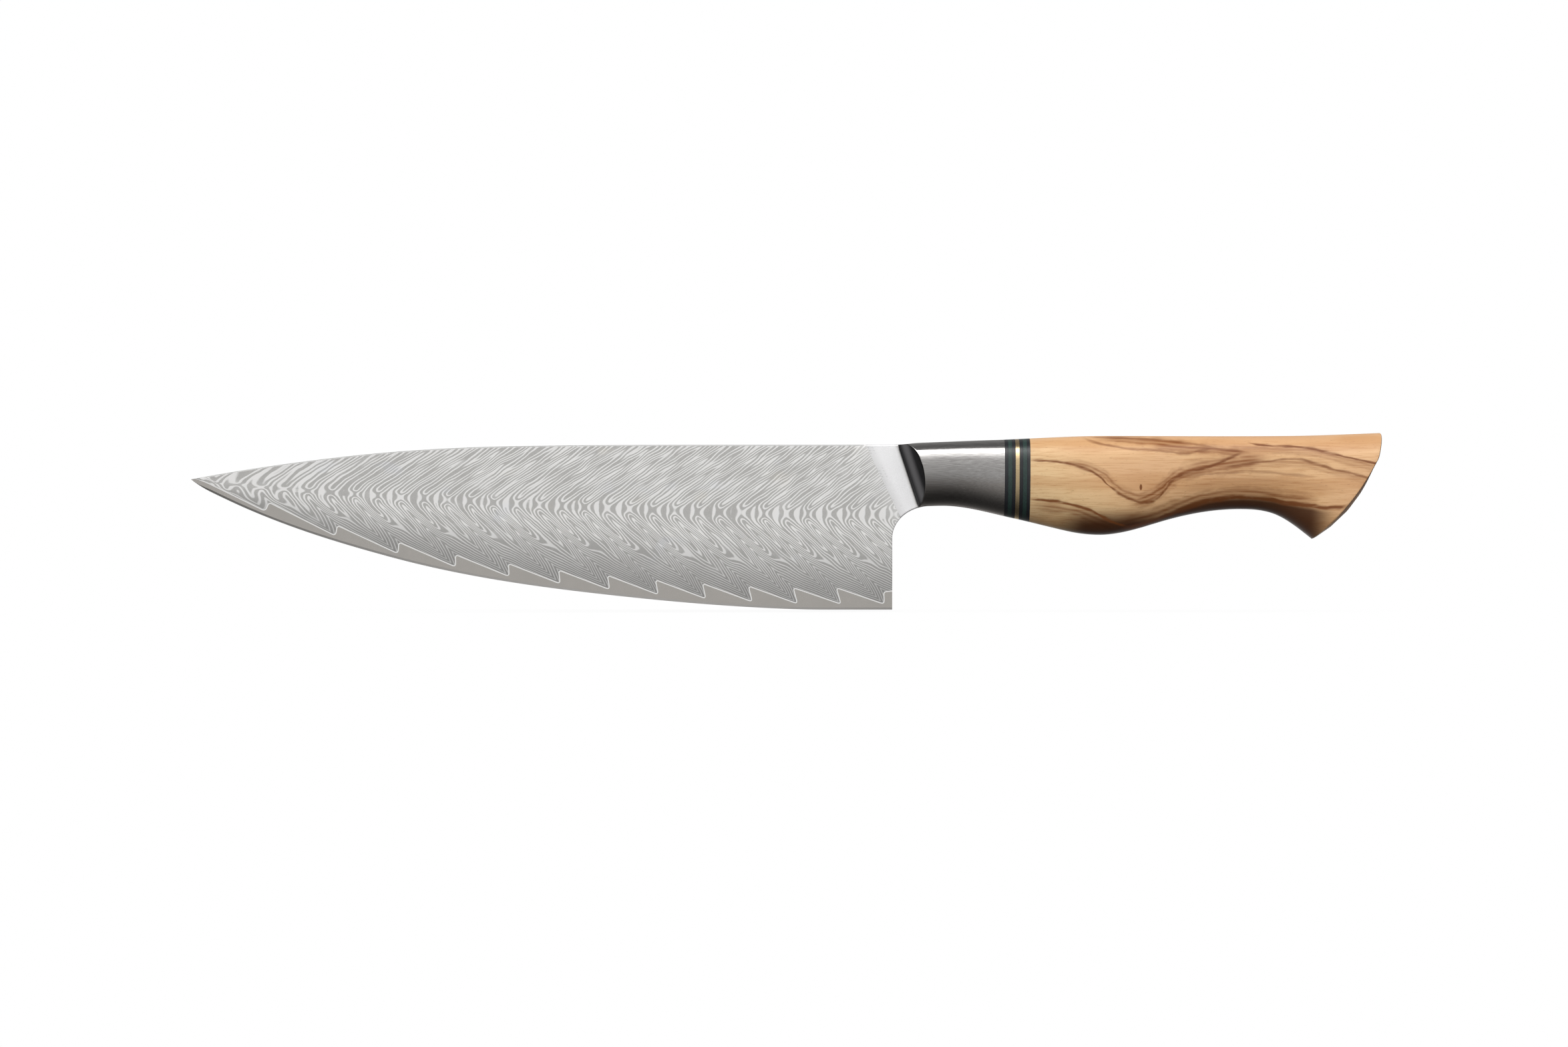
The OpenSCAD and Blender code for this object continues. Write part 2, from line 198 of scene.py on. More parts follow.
def make_piece(name, faces, node, materials, sharp_deg=32.0):
    """One object from faces given as (corner points, material number), welded where they touch."""
    mesh = bpy.data.meshes.new(name)
    bm = bmesh.new()
    known = {}

    def vert(p):
        key = (round(p[0], 4), round(p[1], 4), round(p[2], 4))
        if key not in known:
            known[key] = bm.verts.new(place(*p))
        return known[key]

    for corners, number in faces:
        ring = []
        for p in corners:
            v = vert(p)
            if not ring or v is not ring[-1]:
                ring.append(v)
        if ring[0] is ring[-1]:
            ring.pop()
        if len(set(ring)) < 3 or len(set(ring)) < len(ring):
            continue
        if bm.faces.get(ring) is None:
            bm.faces.new(ring).material_index = number
    bmesh.ops.recalc_face_normals(bm, faces=bm.faces)
    for f in bm.faces:
        f.smooth = True
    for e in bm.edges:
        sides = {len(f.verts) for f in e.link_faces}
        e.smooth = (len(e.link_faces) == 2 and len(sides) == 1
                    and e.calc_face_angle(0) < math.radians(sharp_deg))
    bmesh.ops.triangulate(bm, faces=[f for f in bm.faces if len(f.verts) > 4])
    bm.to_mesh(mesh)
    bm.free()
    for m in materials:
        mesh.materials.append(m)
    piece = bpy.data.objects.new(name, mesh)
    bpy.context.scene.collection.objects.link(piece)
    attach(piece, "root")
    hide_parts(node)
    return piece


def strip(row_a, row_b, number=0, closed=False):
    """Quads between two rows of equal length."""
    last = len(row_a) if closed else len(row_a) - 1
    return [((row_a[i], row_a[(i + 1) % len(row_a)], row_b[(i + 1) % len(row_a)], row_b[i]), number)
            for i in range(last)]


def tube(rings):
    """Quads between closed rings of equal length."""
    return [face for a, b in zip(rings, rings[1:]) for face in strip(a, b, 0, True)]


def cap(ring):
    """One face with the first material over a ring of points."""
    return tuple(ring), 0


def laid(points, depth):
    """(x, z) points laid beside the middle plane, at depth times the blade's half thickness."""
    return [(p[0], depth * flat_at(p[0], p[1]), p[1]) for p in points]


def filled(rim, depth, gap=4.0):
    """Even triangles inside a rim of points, laid at depth times the blade's half thickness."""
    outline = [(x, z) for x, _, z in rim]
    near = KDTree(len(outline))
    for i, (x, z) in enumerate(outline):
        near.insert((x, z, 0.0), i)
    near.balance()
    xs, zs = zip(*outline)
    points = list(outline)
    for i in range(int((max(xs) - min(xs)) / gap) + 1):
        for k in range(int((max(zs) - min(zs)) / gap) + 1):
            x, z = min(xs) + i * gap, min(zs) + (k + 0.5 * (i % 2)) * gap
            if near.find((x, z, 0.0))[2] > gap * 0.6:
                points.append((x, z))
    spots, _, triangles, source, _, _ = delaunay_2d_cdt([Vector(p) for p in points], [],
                                                        [list(range(len(outline)))], 1, 1e-5)
    if not all(source):
        raise ValueError(f"the outline crosses itself at {spots[source.index([])]}")
    return [cap(laid([points[source[i][0]] for i in triangle], depth)) for triangle in triangles]


def crossing(passed, low, high):
    """The value between two others from which a test holds."""
    for _ in range(40):
        middle = (low + high) / 2
        low, high = (low, middle) if passed(middle) else (middle, high)
    return low


def spot_between(a, b, share):
    return tuple(p + (q - p) * share for p, q in zip(a, b))


def ridge_high(x, n):
    return FIRST_HIGH if n == 0 else HIGH_TIP + (HIGH - HIGH_TIP) * (1 + x / BLADE_LEN)


def border_corner(n, high):
    """A ridge or a trough of the wave, on its leaning line above the edge."""
    lean_x = FIRST_RIDGE - n * PITCH - (0 if high else STEEP * PITCH)
    x = lean_x
    for _ in range(40):
        x = (x + lean_x - LEAN * (edge_z(x) + (ridge_high(x, n) if high else LOW))) / 2
    return x, edge_z(x) + (ridge_high(x, n) if high else LOW)


def border_line(top_round, low_round):
    """The wavy border from the heel to the spine at the tip, with its corners rounded."""
    corners = [WAVE_START]
    for n in range(RIDGES):
        corners.append((*border_corner(n, True), top_round))
        corners.append((*border_corner(n, False), low_round))
    turn_x = TIP_TURN[0] - BLADE_LEN
    corners.append((turn_x, edge_z(turn_x) + TIP_TURN[1], TIP_TURN[2]))
    corners.append((-BLADE_LEN - 1, spine_z(-BLADE_LEN) + 1.0, 0.0))
    points = [corners[0][:2]]
    for before, corner, after in zip(corners, corners[1:], corners[2:]):
        *at, reach = corner
        start, end = (spot_between(at, other[:2], min(0.45, reach / math.dist(at, other[:2])))
                      for other in (before, after))
        points += [tuple((1 - t) ** 2 * start[k] + 2 * t * (1 - t) * at[k] + t * t * end[k]
                         for k in (0, 1)) for t in span(0, 1, 6)]
    points.append(corners[-1][:2])
    dense = [points[0]]
    for a, b in zip(points, points[1:]):
        steps = max(1, int(math.dist(a, b) / 0.8))
        dense += [spot_between(a, b, i / steps) for i in range(1, steps + 1)]
    first = next(i for i, p in enumerate(dense) if p[0] <= 0)
    a, b = dense[first - 1], dense[first]
    inside = [(0.0, a[1] + (b[1] - a[1]) * a[0] / (a[0] - b[0]))]
    for a, b in zip(dense[first:], dense[first + 1:]):
        inside.append(a)
        if b[1] > spine_z(b[0]):
            share = crossing(lambda t: a[1] + (b[1] - a[1]) * t >= spine_z(a[0] + (b[0] - a[0]) * t),
                             0.0, 1.0)
            x = a[0] + (b[0] - a[0]) * share
            inside.append((x, spine_z(x)))
            break
    return [p for i, p in enumerate(inside) if i == 0 or math.dist(p, inside[i - 1]) > 1e-3]


def shifted(line, gap):
    """The line moved sideways, to the left of its run, narrowing to nothing at its end."""
    out = []
    for i, p in enumerate(line):
        a, b = line[max(0, i - 1)], line[min(len(line) - 1, i + 1)]
        dx, dz = b[0] - a[0], b[1] - a[1]
        part = gap * min(1.0, math.dist(p, line[-1]) / 3.0) / math.hypot(dx, dz)
        out.append((p[0] + part * dz, p[1] - part * dx))
    return out


def span(start, end, count):
    return [start + (end - start) * i / count for i in range(count + 1)]


def outline_above(border, gap=0.0):
    """Spine, weld line, choil and heel above the border, as (x, z, rim radius share)."""
    tip_x = border[-1][0]
    spine = [(x, spine_z(x), min(1.0, (x - tip_x) / 5.0)) for x in span(tip_x, -NECK_LEN, 110)]
    weld = [(*spot_between(spine[-1][:2], WELD_FOOT, t), 0.0) for t in span(0, 1, 8)]
    choil = [(*choil_point(a), 0.6) for a in span(WELD_ANGLE, 0, 14)]
    low_z = border[0][1] + gap
    heel = [(0.0, z, min(0.4, (z - low_z) / 5.0)) for z in span(HEEL_H, low_z, 8)]
    return spine[:-1] + weld[:-1] + choil[:-1] + heel


def build_jacket(side, border, line_width, rim, materials):
    """One patterned jacket: outer face, bright border line, rounded rim, inner face."""
    out = outline_above(border, line_width)
    line = shifted(border, line_width)
    line[0] = out[-1][:2]

    def rim_row(angle):
        row = []
        for i, (x, z, part) in enumerate(out):
            a, b = out[max(0, i - 1)], out[min(len(out) - 1, i + 1)]
            dx, dz = b[0] - a[0], b[1] - a[1]
            size = math.hypot(dx, dz)
            r = rim * part
            back = r * (1 - math.sin(angle))
            ix, iz = x + dz / size * back, z - dx / size * back
            row.append((ix, side * (flat_at(ix, iz) - r * (1 - math.cos(angle))), iz))
        return row

    rim_rows = [rim_row(math.radians(a)) for a in (0, 22.5, 45, 67.5, 90)]
    inner, border_in = laid(out, side * CORE_SHARE), laid(border, side * CORE_SHARE)
    outer_line, border_row = laid(line, side), laid(border, side)
    faces = []
    for a, b in zip(rim_rows, rim_rows[1:] + [inner]):
        faces += strip(a, b)
    faces += strip(outer_line, border_row, 1)
    faces += strip(border_row, border_in)
    faces += filled(rim_rows[0] + outer_line[1:-1], side)
    faces += filled(inner + border_in[:-1], side * CORE_SHARE)
    faces.append(cap((outer_line[0], inner[-1], border_in[0], border_row[0])))
    hand = "right" if side > 0 else "left"
    return make_piece("jacket_" + hand, faces, "cladding_" + hand, materials)


def build_core(border, bevel, land, material):
    """The hard layer: plain band with its ground bevel, and the thin sheet between the jackets."""
    out = outline_above(border)
    edge = [(x, edge_z(x)) for x in span(0.0, -BLADE_LEN, 190)]
    shoulder_line = []
    for x, z in edge:
        slope = edge_z(x + 0.5) - edge_z(x - 0.5)
        size = math.hypot(1, slope)
        taper = max(0.0, min(1.0, (x + BLADE_LEN) / 6.0))
        shoulder_line.append((min(0.0, x - slope / size * bevel * taper), z + bevel * taper / size))
    tip_line = [(x, spine_z(x)) for x in span(-BLADE_LEN, border[-1][0], 3)][1:-1]
    faces = []
    sides = []
    for side in (-1, 1):
        keen = [(x, side * land / 2, z) for x, z in edge]
        shoulder, tip_run, border_out = (laid(row, side) for row in (shoulder_line, tip_line, border))
        border_in, sheet = (laid(row, side * CORE_SHARE) for row in (border, out))
        faces += strip(shoulder, keen)
        faces += filled(shoulder + tip_run + border_out[::-1], side, 2.0)
        faces += strip(border_out, border_in)
        faces += filled(sheet + border_in[1:-1], side * CORE_SHARE)
        sides.append((keen, shoulder, border_out, border_in, sheet, tip_run))
    # Each name now holds a row of the left side and one of the right
    keen, shoulder, border_out, border_in, sheet, tip_run = zip(*sides)
    faces += strip(*keen)
    faces += strip(*sheet)
    section = (keen, shoulder, border_out, border_in)
    faces.append(cap([left[0] for left, _ in section] + [right[0] for _, right in section[::-1]]))
    faces += strip(*([low[-1]] + run + [high[-1]]
                     for low, run, high in zip(shoulder, tip_run, border_out)))
    for below, above in ((border_out, border_in), (keen, shoulder)):
        faces.append(cap((below[0][-1], above[0][-1], above[1][-1], below[1][-1])))
    return make_piece("core_blade", faces, "core_steel", [material], 12.0)


def soft_max(a, b, k):
    d = max(0.0, 1 - abs(a - b) / k)
    return max(a, b) + d * d * k / 4


def soft_min(a, b, k):
    return -soft_max(-a, -b, k)


def eased(t):
    """A smooth step from 0 to 1."""
    t = max(0.0, min(1.0, t))
    return t * t * (3 - 2 * t)


def build_bolster(fillet, crease, rim, material):
    """Neck, scooped front facets and egg-shaped body in one skin."""
    # Leaning stations: (distance along the spine, lean towards the butt per millimetre down)
    stations = [(x, WELD_LEAN + (FRONT_RAKE - WELD_LEAN) * (x + NECK_LEN) / NECK_LEN)
                for x in span(-NECK_LEN, 0, 7)]
    stations += [(x, FRONT_RAKE * (1 - eased((x - 2.0) / 9.0))) for x in span(0, RAKED_LEN, 52)[1:]]
    stations += [(x, 0.0) for x in span(RAKED_LEN, BOLSTER_END, 24)[1:]]

    def top_line(x):
        if x <= 0:
            return spine_z(x)
        blend = eased((x - 1.0) / 8.0)
        return spine_z(0) * (1 - blend) + top_z(x) * blend

    def low_line(x):
        return choil_z(x) if x < CHOIL_LEN else under_z(x)

    def half_width(x, z, d_rim):
        plate = flat_at(min(x, 12), z)
        r = min(rim, plate)
        if d_rim < r:
            plate += math.sqrt(max(0.0, 2 * r * d_rim - d_rim * d_rim)) - r
        if x < 0.2:
            return plate
        top, under = top_z(x), min(under_z(x), low_line(x))
        level = under + WIDEST_LEVEL * (top - under)
        up = z > level
        n = TOP_ROUNDNESS if up else along(ROUND, x)
        rise = top - level if up else level - under
        f = min(1.0, abs(z - level) / rise)
        loft = along(WIDTH, x) * (1 - f**n) ** (1 / n)
        facet = SPINE_T / 2 + (x - BOLSTER_FRONT - FRONT_RAKE * (BLADE_H - z)) / FACET_SLOPE
        body = soft_min(loft, facet, crease)
        return soft_max(plate, body, fillet * min(1.0, d_rim / 1.5 + 0.05))

    shares = [1 - (1 - i / 32) ** 2.2 for i in range(33)]
    rings = []
    for sx, lean in stations:
        z_top, z_low = top_line(sx), 30.0
        for _ in range(30):
            z_low = (z_low + low_line(sx + lean * (BLADE_H - z_low))) / 2
        level = z_low + WIDEST_LEVEL * (z_top - z_low)
        heights = ([level - (level - z_low) * s for s in reversed(shares)]
                   + [level + (z_top - level) * s for s in shares[1:]])
        half = []
        for i, z in enumerate(heights):
            x = sx + lean * (BLADE_H - z)
            at_end = i in (0, len(heights) - 1)
            half.append((x, 0.0 if at_end else half_width(x, z, min(z - z_low, z_top - z)), z))
        rings.append(half + [(x, -y, z) for x, y, z in reversed(half[1:-1])])
    faces = tube(rings) + [cap(rings[0]), cap(rings[-1])]
    return make_piece("bolster_body", faces, "bolster", [material], 50.0)


def form_ring(x, shrink=0.0):
    """A section of the handle form, made smaller all round by the shrink."""
    ring = []
    for angle in RING_ANGLES:
        y, z = section_at(x, angle)
        part = 1 - shrink / math.hypot(y, z - SPACER_MIDDLE)
        ring.append((x, y * part, SPACER_MIDDLE + (z - SPACER_MIDDLE) * part))
    return ring


def build_spacer(name, start, thick, ease, material):
    rings = [form_ring(start, ease), form_ring(start + ease), form_ring(start + thick - ease),
             form_ring(start + thick, ease)]
    faces = [cap(rings[0]), cap(rings[-1])] + tube(rings)
    return make_piece("disc_" + name[len("spacer_"):], faces, name, [material])


def butt_arc():
    """Centre, radius and levels of the butt's curved face."""
    tip_x = HANDLE_LEN - BUTT_TIP_BACK
    tip, top = (tip_x, under_z(tip_x)), (HANDLE_LEN, top_z(HANDLE_LEN))
    chord = math.dist(tip, top)
    radius = chord**2 / 8 / BUTT_BULGE + BUTT_BULGE / 2
    out = ((top[1] - tip[1]) / chord, (tip[0] - top[0]) / chord)
    centre = tuple((tip[k] + top[k]) / 2 - out[k] * (radius - BUTT_BULGE) for k in (0, 1))
    return centre, radius, tip[1], top[1] - CROWN_DROP


def build_handle(edge_round, material):
    centre, radius, tip_level, crown_level = butt_arc()
    half_end = along(WIDTH, HANDLE_LEN)

    def butt_x(y, z):
        depth = max(0.0, min(1.0, (crown_level - z) / (crown_level - tip_level)))
        return (centre[0] + math.sqrt(max(0.0, radius**2 - (z - centre[1]) ** 2))
                - BUTT_CROWN * depth**CROWN_POWER * (y / half_end) ** 2)

    def inward(y, z, share):
        return y * share, BUTT_MIDDLE + (z - BUTT_MIDDLE) * share

    start = BOLSTER_END + sum(s[1] for s in SPACERS)
    ends = [crossing(lambda x: x > butt_x(*section_at(x, a)), start, HANDLE_LEN + 5)
            for a in RING_ANGLES]
    # The rings stop short of the butt's face, to leave room for the rounded edge
    rings = []
    for part in span(0.0, 1.0, 96):
        stations = [start + (end - edge_round - start) * part for end in ends]
        rings.append([(x, *section_at(x, a)) for x, a in zip(stations, RING_ANGLES)])
    rim = [section_at(end, a) for end, a in zip(ends, RING_ANGLES)]
    for degrees in (30, 60, 90):
        a = math.radians(degrees)
        ring = []
        for y, z in rim:
            reach = max(edge_round, math.hypot(y, (z - BUTT_MIDDLE) * 0.8))
            iy, iz = inward(y, z, 1 - edge_round / reach * (1 - math.cos(a)))
            ring.append((butt_x(iy, iz) - edge_round * (1 - math.sin(a)), iy, iz))
        rings.append(ring)
    face_rim = rings[-1]
    for share in (0.86, 0.64, 0.42, 0.2):
        spots = [inward(y, z, share) for _, y, z in face_rim]
        rings.append([(butt_x(y, z), y, z) for y, z in spots])
    middle = (butt_x(0, BUTT_MIDDLE), 0.0, BUTT_MIDDLE)
    last = rings[-1]
    faces = [cap(rings[0])] + tube(rings)
    faces += [cap((last[k - 1], last[k], middle)) for k in range(len(last))]
    return make_piece("grip_wood", faces, "handle", [material], 50.0)


# ---- Shader values that add and multiply like numbers --------------------------------------------

class Value:
    """A number that varies over the surface, held by a node's output."""

    def __init__(self, tree, socket):
        self.tree, self.socket = tree, socket

    def math(self, operation, *others):
        node = self.tree.nodes.new("ShaderNodeMath")
        node.operation = operation
        self.tree.links.new(self.socket, node.inputs[0])
        for i, other in enumerate(others, 1):
            if isinstance(other, Value):
                self.tree.links.new(other.socket, node.inputs[i])
            else:
                node.inputs[i].default_value = other
        return Value(self.tree, node.outputs[0])

    def __add__(self, other):
        return self.math("ADD", other)

    def __sub__(self, other):
        return self.math("SUBTRACT", other)

    def __mul__(self, other):
        return self.math("MULTIPLY", other)

    def __truediv__(self, other):
        return self.math("DIVIDE", other)

    def __rsub__(self, other):
        return (self * -1) + other

    def ramp(self, low, high, out_low=0.0, out_high=1.0, kind="SMOOTHSTEP"):
        """Eases from one value to another while this one goes from low to high."""
        node = self.tree.nodes.new("ShaderNodeMapRange")
        node.interpolation_type = kind
        self.tree.links.new(self.socket, node.inputs["Value"])
        names = ("From Min", "From Max", "To Min", "To Max")
        for name, value in zip(names, (low, high, out_low, out_high)):
            node.inputs[name].default_value = value
        return Value(self.tree, node.outputs["Result"])

    def within(self):
        """This value kept between 0 and 1."""
        return self.math("MAXIMUM", 0.0).math("MINIMUM", 1.0)

    def curve(self, points, handle="AUTO"):
        """The height over this value of a line through the points."""
        xs, zs = [p[0] for p in points], [p[1] for p in points]
        x0, x1, z0, z1 = min(xs), max(xs), min(zs), max(zs)
        node = self.tree.nodes.new("ShaderNodeFloatCurve")
        line = node.mapping.curves[0]
        for i, (x, z) in enumerate(sorted(points)):
            at = ((x - x0) / (x1 - x0), (z - z0) / (z1 - z0))
            if i < 2:
                line.points[i].location = at
            else:
                line.points.new(*at)
        for point in line.points:
            point.handle_type = handle
        node.mapping.extend = "HORIZONTAL"
        node.mapping.update()
        self.tree.links.new(self.ramp(x0, x1, kind="LINEAR").socket, node.inputs["Value"])
        return Value(self.tree, node.outputs[0]) * (z1 - z0) + z0


def mixed(share, a, b):
    """A colour between two, each a tuple or a colour socket."""
    node = share.tree.nodes.new("ShaderNodeMix")
    node.data_type = "RGBA"
    share.tree.links.new(share.socket, node.inputs["Factor"])
    for side, colour in (("A", a), ("B", b)):
        target = next(s for s in node.inputs if s.name == side and s.type == "RGBA")
        if hasattr(colour, "links"):
            share.tree.links.new(colour, target)
        else:
            target.default_value = (*colour, 1.0)
    return next(s for s in node.outputs if s.type == "RGBA")


class Place:
    """Object position in millimetres from the heel, and noises read there."""

    def __init__(self, tree):
        self.tree = tree
        coord = tree.nodes.new("ShaderNodeTexCoord")
        split = tree.nodes.new("ShaderNodeSeparateXYZ")
        tree.links.new(coord.outputs["Object"], split.inputs[0])
        self.x = Value(tree, split.outputs[0]) / MM + MID_X
        self.y = Value(tree, split.outputs[1]) / MM
        self.z = Value(tree, split.outputs[2]) / MM
        facing = tree.nodes.new("ShaderNodeSeparateXYZ")
        tree.links.new(coord.outputs["Normal"], facing.inputs[0])
        self.facing_x, self.facing_z = (Value(tree, facing.outputs[i]) for i in (0, 2))

    def noise(self, sizes, detail=2.0, rough=0.5, seed=0.0):
        """Even noise about 0 whose lumps have the given sizes in millimetres."""
        join = self.tree.nodes.new("ShaderNodeCombineXYZ")
        for i, (axis, size) in enumerate(zip((self.x, self.y, self.z), sizes)):
            self.tree.links.new((axis / size + seed * (i + 1)).socket, join.inputs[i])
        node = self.tree.nodes.new("ShaderNodeTexNoise")
        node.inputs["Scale"].default_value = 1.0
        node.inputs["Detail"].default_value = detail
        node.inputs["Roughness"].default_value = rough
        self.tree.links.new(join.outputs[0], node.inputs["Vector"])
        return Value(self.tree, node.outputs[0]) - 0.5


def named_group(name, inputs, outputs, fill):
    """A node group with named number sockets, made once."""
    if name in bpy.data.node_groups:
        return bpy.data.node_groups[name]
    tree = bpy.data.node_groups.new(name, "ShaderNodeTree")
    for label, default in inputs.items():
        socket = tree.interface.new_socket(label, in_out="INPUT", socket_type="NodeSocketFloat")
        socket.default_value = default
    for label in outputs:
        tree.interface.new_socket(label, in_out="OUTPUT", socket_type="NodeSocketFloat")
    source = tree.nodes.new("NodeGroupInput")
    sink = tree.nodes.new("NodeGroupOutput")
    given = {label: Value(tree, source.outputs[label]) for label in inputs}
    for label, result in fill(tree, given).items():
        tree.links.new(result.socket, sink.inputs[label])
    return tree


def use_group(tree, group, values):
    node = tree.nodes.new("ShaderNodeGroup")
    node.node_tree = group
    for label, value in values.items():
        node.inputs[label].default_value = value
    return {s.name: Value(tree, s) for s in node.outputs}


def grain_group():
    """Fine streaks and specks left by grinding, sanding or brushing."""
    def fill(tree, given):
        at = Place(tree)
        width = given["Streak Width"]
        return {"Streaks": at.noise((given["Streak Length"], width, width), 3.0) + 0.5,
                "Specks": at.noise((0.22, 0.22, 0.22), 1.0, 0.6, 3.0) + 0.5,
                "Clouds": at.noise((6.0, 6.0, 6.0), 2.0, 0.5, 7.0) + 0.5}

    return named_group("Tool Grain", {"Streak Length": 8.0, "Streak Width": 0.12},
                       ("Streaks", "Specks", "Clouds"), fill)


def wear_group():
    """Mask of rubbed edges."""
    def fill(tree, given):
        geometry = tree.nodes.new("ShaderNodeNewGeometry")
        point = Value(tree, geometry.outputs["Pointiness"])
        at = Place(tree)
        lift = point + at.noise((1.5, 1.5, 1.5), 2.0, 0.5, 5.0) * given["Unevenness"]
        return {"Edge": ((lift - 0.52) * given["Spread"]).within()}

    return named_group("Rubbed Edge", {"Unevenness": 0.02, "Spread": 12.0}, ("Edge",), fill)


def new_material(name, metal, **constants):
    """A material and its nodes, with the constants on its shader's own sockets."""
    material = bpy.data.materials.new(name)
    material.use_nodes = True
    sockets = material.node_tree.nodes["Principled BSDF"].inputs
    sockets["Metallic"].default_value = metal
    for label, value in constants.items():
        sockets[label.replace("_", " ")].default_value = value
    return material, material.node_tree


def finished(material, colour, rough, height, depth_mm, strength):
    """The material, with its varying colour, roughness and relief put on."""
    tree = material.node_tree
    sockets = tree.nodes["Principled BSDF"].inputs
    tree.links.new(colour, sockets["Base Color"])
    tree.links.new(rough.socket, sockets["Roughness"])
    bump = tree.nodes.new("ShaderNodeBump")
    bump.inputs["Distance"].default_value = depth_mm * MM
    bump.inputs["Strength"].default_value = strength
    tree.links.new(height.socket, bump.inputs["Height"])
    tree.links.new(bump.outputs[0], sockets["Normal"])
    return material


def grain_in(tree, length, width):
    return use_group(tree, grain_group(), {"Streak Length": length, "Streak Width": width})


def rubbed_in(tree, unevenness, spread):
    return use_group(tree, wear_group(), {"Unevenness": unevenness, "Spread": spread})["Edge"]


def toned(tone, factor):
    return tuple(min(1.0, c * factor) for c in tone)


def grained(grain, a, b):
    """Two tones, one in the grain's lows and one in its highs."""
    return mixed(grain.ramp(0.3, 0.7, kind="LINEAR"), a, b)


def past_weld(at):
    """Distance behind the weld line, in millimetres."""
    return (at.x + (at.z - spine_z(-NECK_LEN)) * WELD_LEAN + NECK_LEN) * 0.9


def past_front(at):
    """Distance along the knife behind the raked front of the bolster."""
    return at.x - (BLADE_H - at.z) * FRONT_RAKE - BOLSTER_FRONT


def layered_steel(tones):
    """Etched layers: pale lines where each layer comes to the surface."""
    material, tree = new_material("Layered steel", tones.metal)
    at = Place(tree)
    edge = at.x.curve([(x, edge_z(x)) for x in span(-BLADE_LEN, 0, 30)])
    spine = at.x.curve([(x, spine_z(x)) for x in span(-BLADE_LEN, 0, 16)])
    warp_x = at.noise((5, 40, 5), 1.0, 0.4, 1.0) * 0.85 + at.noise((1.5, 30, 1.5), 1.0, 0.4, 2.0) * 0.16
    warp_z = at.noise((6, 40, 6), 1.0, 0.4, 3.0) * 1.0 + at.noise((1.4, 30, 1.4), 1.0, 0.4, 4.0) * 0.14
    tall = spine - edge
    high = at.z - edge
    fade = high.ramp(1.5, 9.0)
    star = edge + tall * STAR_SHARE
    off = at.z - star + warp_z * fade

    def soft_side(v, sign):
        return (v + ((v * v) + 2.2).math("SQRT") * sign) * 0.5

    low_part = soft_side(off + 2.0, -1.0)
    high_part = soft_side(off - 1.6, 1.0)
    run = at.x + warp_x * fade + (star - 2.0) * LEAN + low_part * LEAN - high_part * HIGH_LEAN
    phase = (run - FIRST_RIDGE) / PITCH
    f = phase.math("FRACT")
    tooth = f.curve([(0, 1), (1 - STEEP, -1), (1, 1)], "VECTOR")
    rise = (high + warp_z * fade) / tall.math("MAXIMUM", 6.0) / STAR_SHARE
    turn = phase * (2 * math.pi)
    swell = turn.math("COSINE") * 0.2 + (turn * 2.0).math("COSINE") * 0.8 + (
        turn * 6.0).math("COSINE") * 0.08
    blend = rise.ramp(0.38, 0.76)
    wave = tooth * (1 - blend) + swell * blend
    size = rise.curve([(0, 2.9), (0.25, 2.9), (0.5, 2.6), (0.7, 2.1), (0.88, 1.75), (0.94, 1.25),
                       (1, 0.7), (1.06, 1.15), (1.12, 1.4), (1.3, 1.4), (1.5, 1.45), (1.72, 1.1)])
    climb = rise.curve([(0, 0), (0.2, 5.6), (0.35, 8.9), (0.5, 11.2), (0.65, 12.7), (0.8, 13.5),
                        (0.9, 14.1), (1, 15), (1.1, 14.1), (1.25, 13.7), (1.5, 12.7), (1.72, 11.6)])
    shrink = tall * 0.0152 + 0.25
    uneven = at.noise((9, 60, 22), 1.0, 0.4, 6.0) * 0.7 + 1.0
    layers = climb * shrink - size * uneven * wave * shrink.ramp(0.3, 0.85, 0.45, 1.0)
    layers = layers + at.noise((10, 60, 10), 1.0, 0.5, 8.0) * 0.5
    depth = (layers.math("FRACT") - 0.5).math("ABSOLUTE")
    width = at.noise((14, 60, 9), 2.0, 0.5, 9.0) * 0.2 + rise.ramp(0.1, 0.9, 0.0, 0.05) + 0.16
    line = ((width - depth) / 0.14 + 0.5).within()
    grain = grain_in(tree, 0.6, 0.18)
    ground = grained(grain["Specks"], tones.dark_layer, toned(tones.dark_layer, 1.22))
    colour = mixed(line, ground, tones.pale_layer)
    # Bluish bloom, a pale haze by the weld and in clouds, and a warm cast in places
    bloom = at.noise((11, 50, 8), 2.0, 0.5, 11.0).ramp(0.1, 0.3)
    colour = mixed(bloom * 0.2, colour, (0.74, 0.78, 0.9))
    cloud = at.noise((9, 50, 5), 2.0, 0.5, 17.0).ramp(0.05, 0.28)
    haze = (cloud * 0.3).math("MAXIMUM", (past_weld(at) * -1).ramp(5.0, 0.0) * 0.3)
    colour = mixed(haze, colour, (0.93, 0.93, 0.93))
    warm = at.noise((13, 50, 9), 2.0, 0.5, 13.0).ramp(0.12, 0.3)
    colour = mixed(warm * 0.14, colour, (0.78, 0.70, 0.55))
    # The rounded rim is plain, with painted light set by the way it faces: a painted grey shade where
    # it begins to turn up and a painted highlight along the spine
    colour = mixed(at.facing_z.ramp(0.06, 0.2), colour, (0.34, 0.34, 0.335))
    colour = mixed(at.facing_z.ramp(0.45, 0.8), colour, (0.95, 0.95, 0.94))
    # Painted shade: the colour darkens towards the cutting edge
    colour = mixed(rise.ramp(0.0, 0.9, 0.56, 1.0), (0.0, 0.0, 0.0), colour)
    return finished(material, colour, line * -0.10 + grain["Clouds"] * 0.08 + 0.42,
                    line + grain["Specks"] * 0.3, 0.012, 0.5)


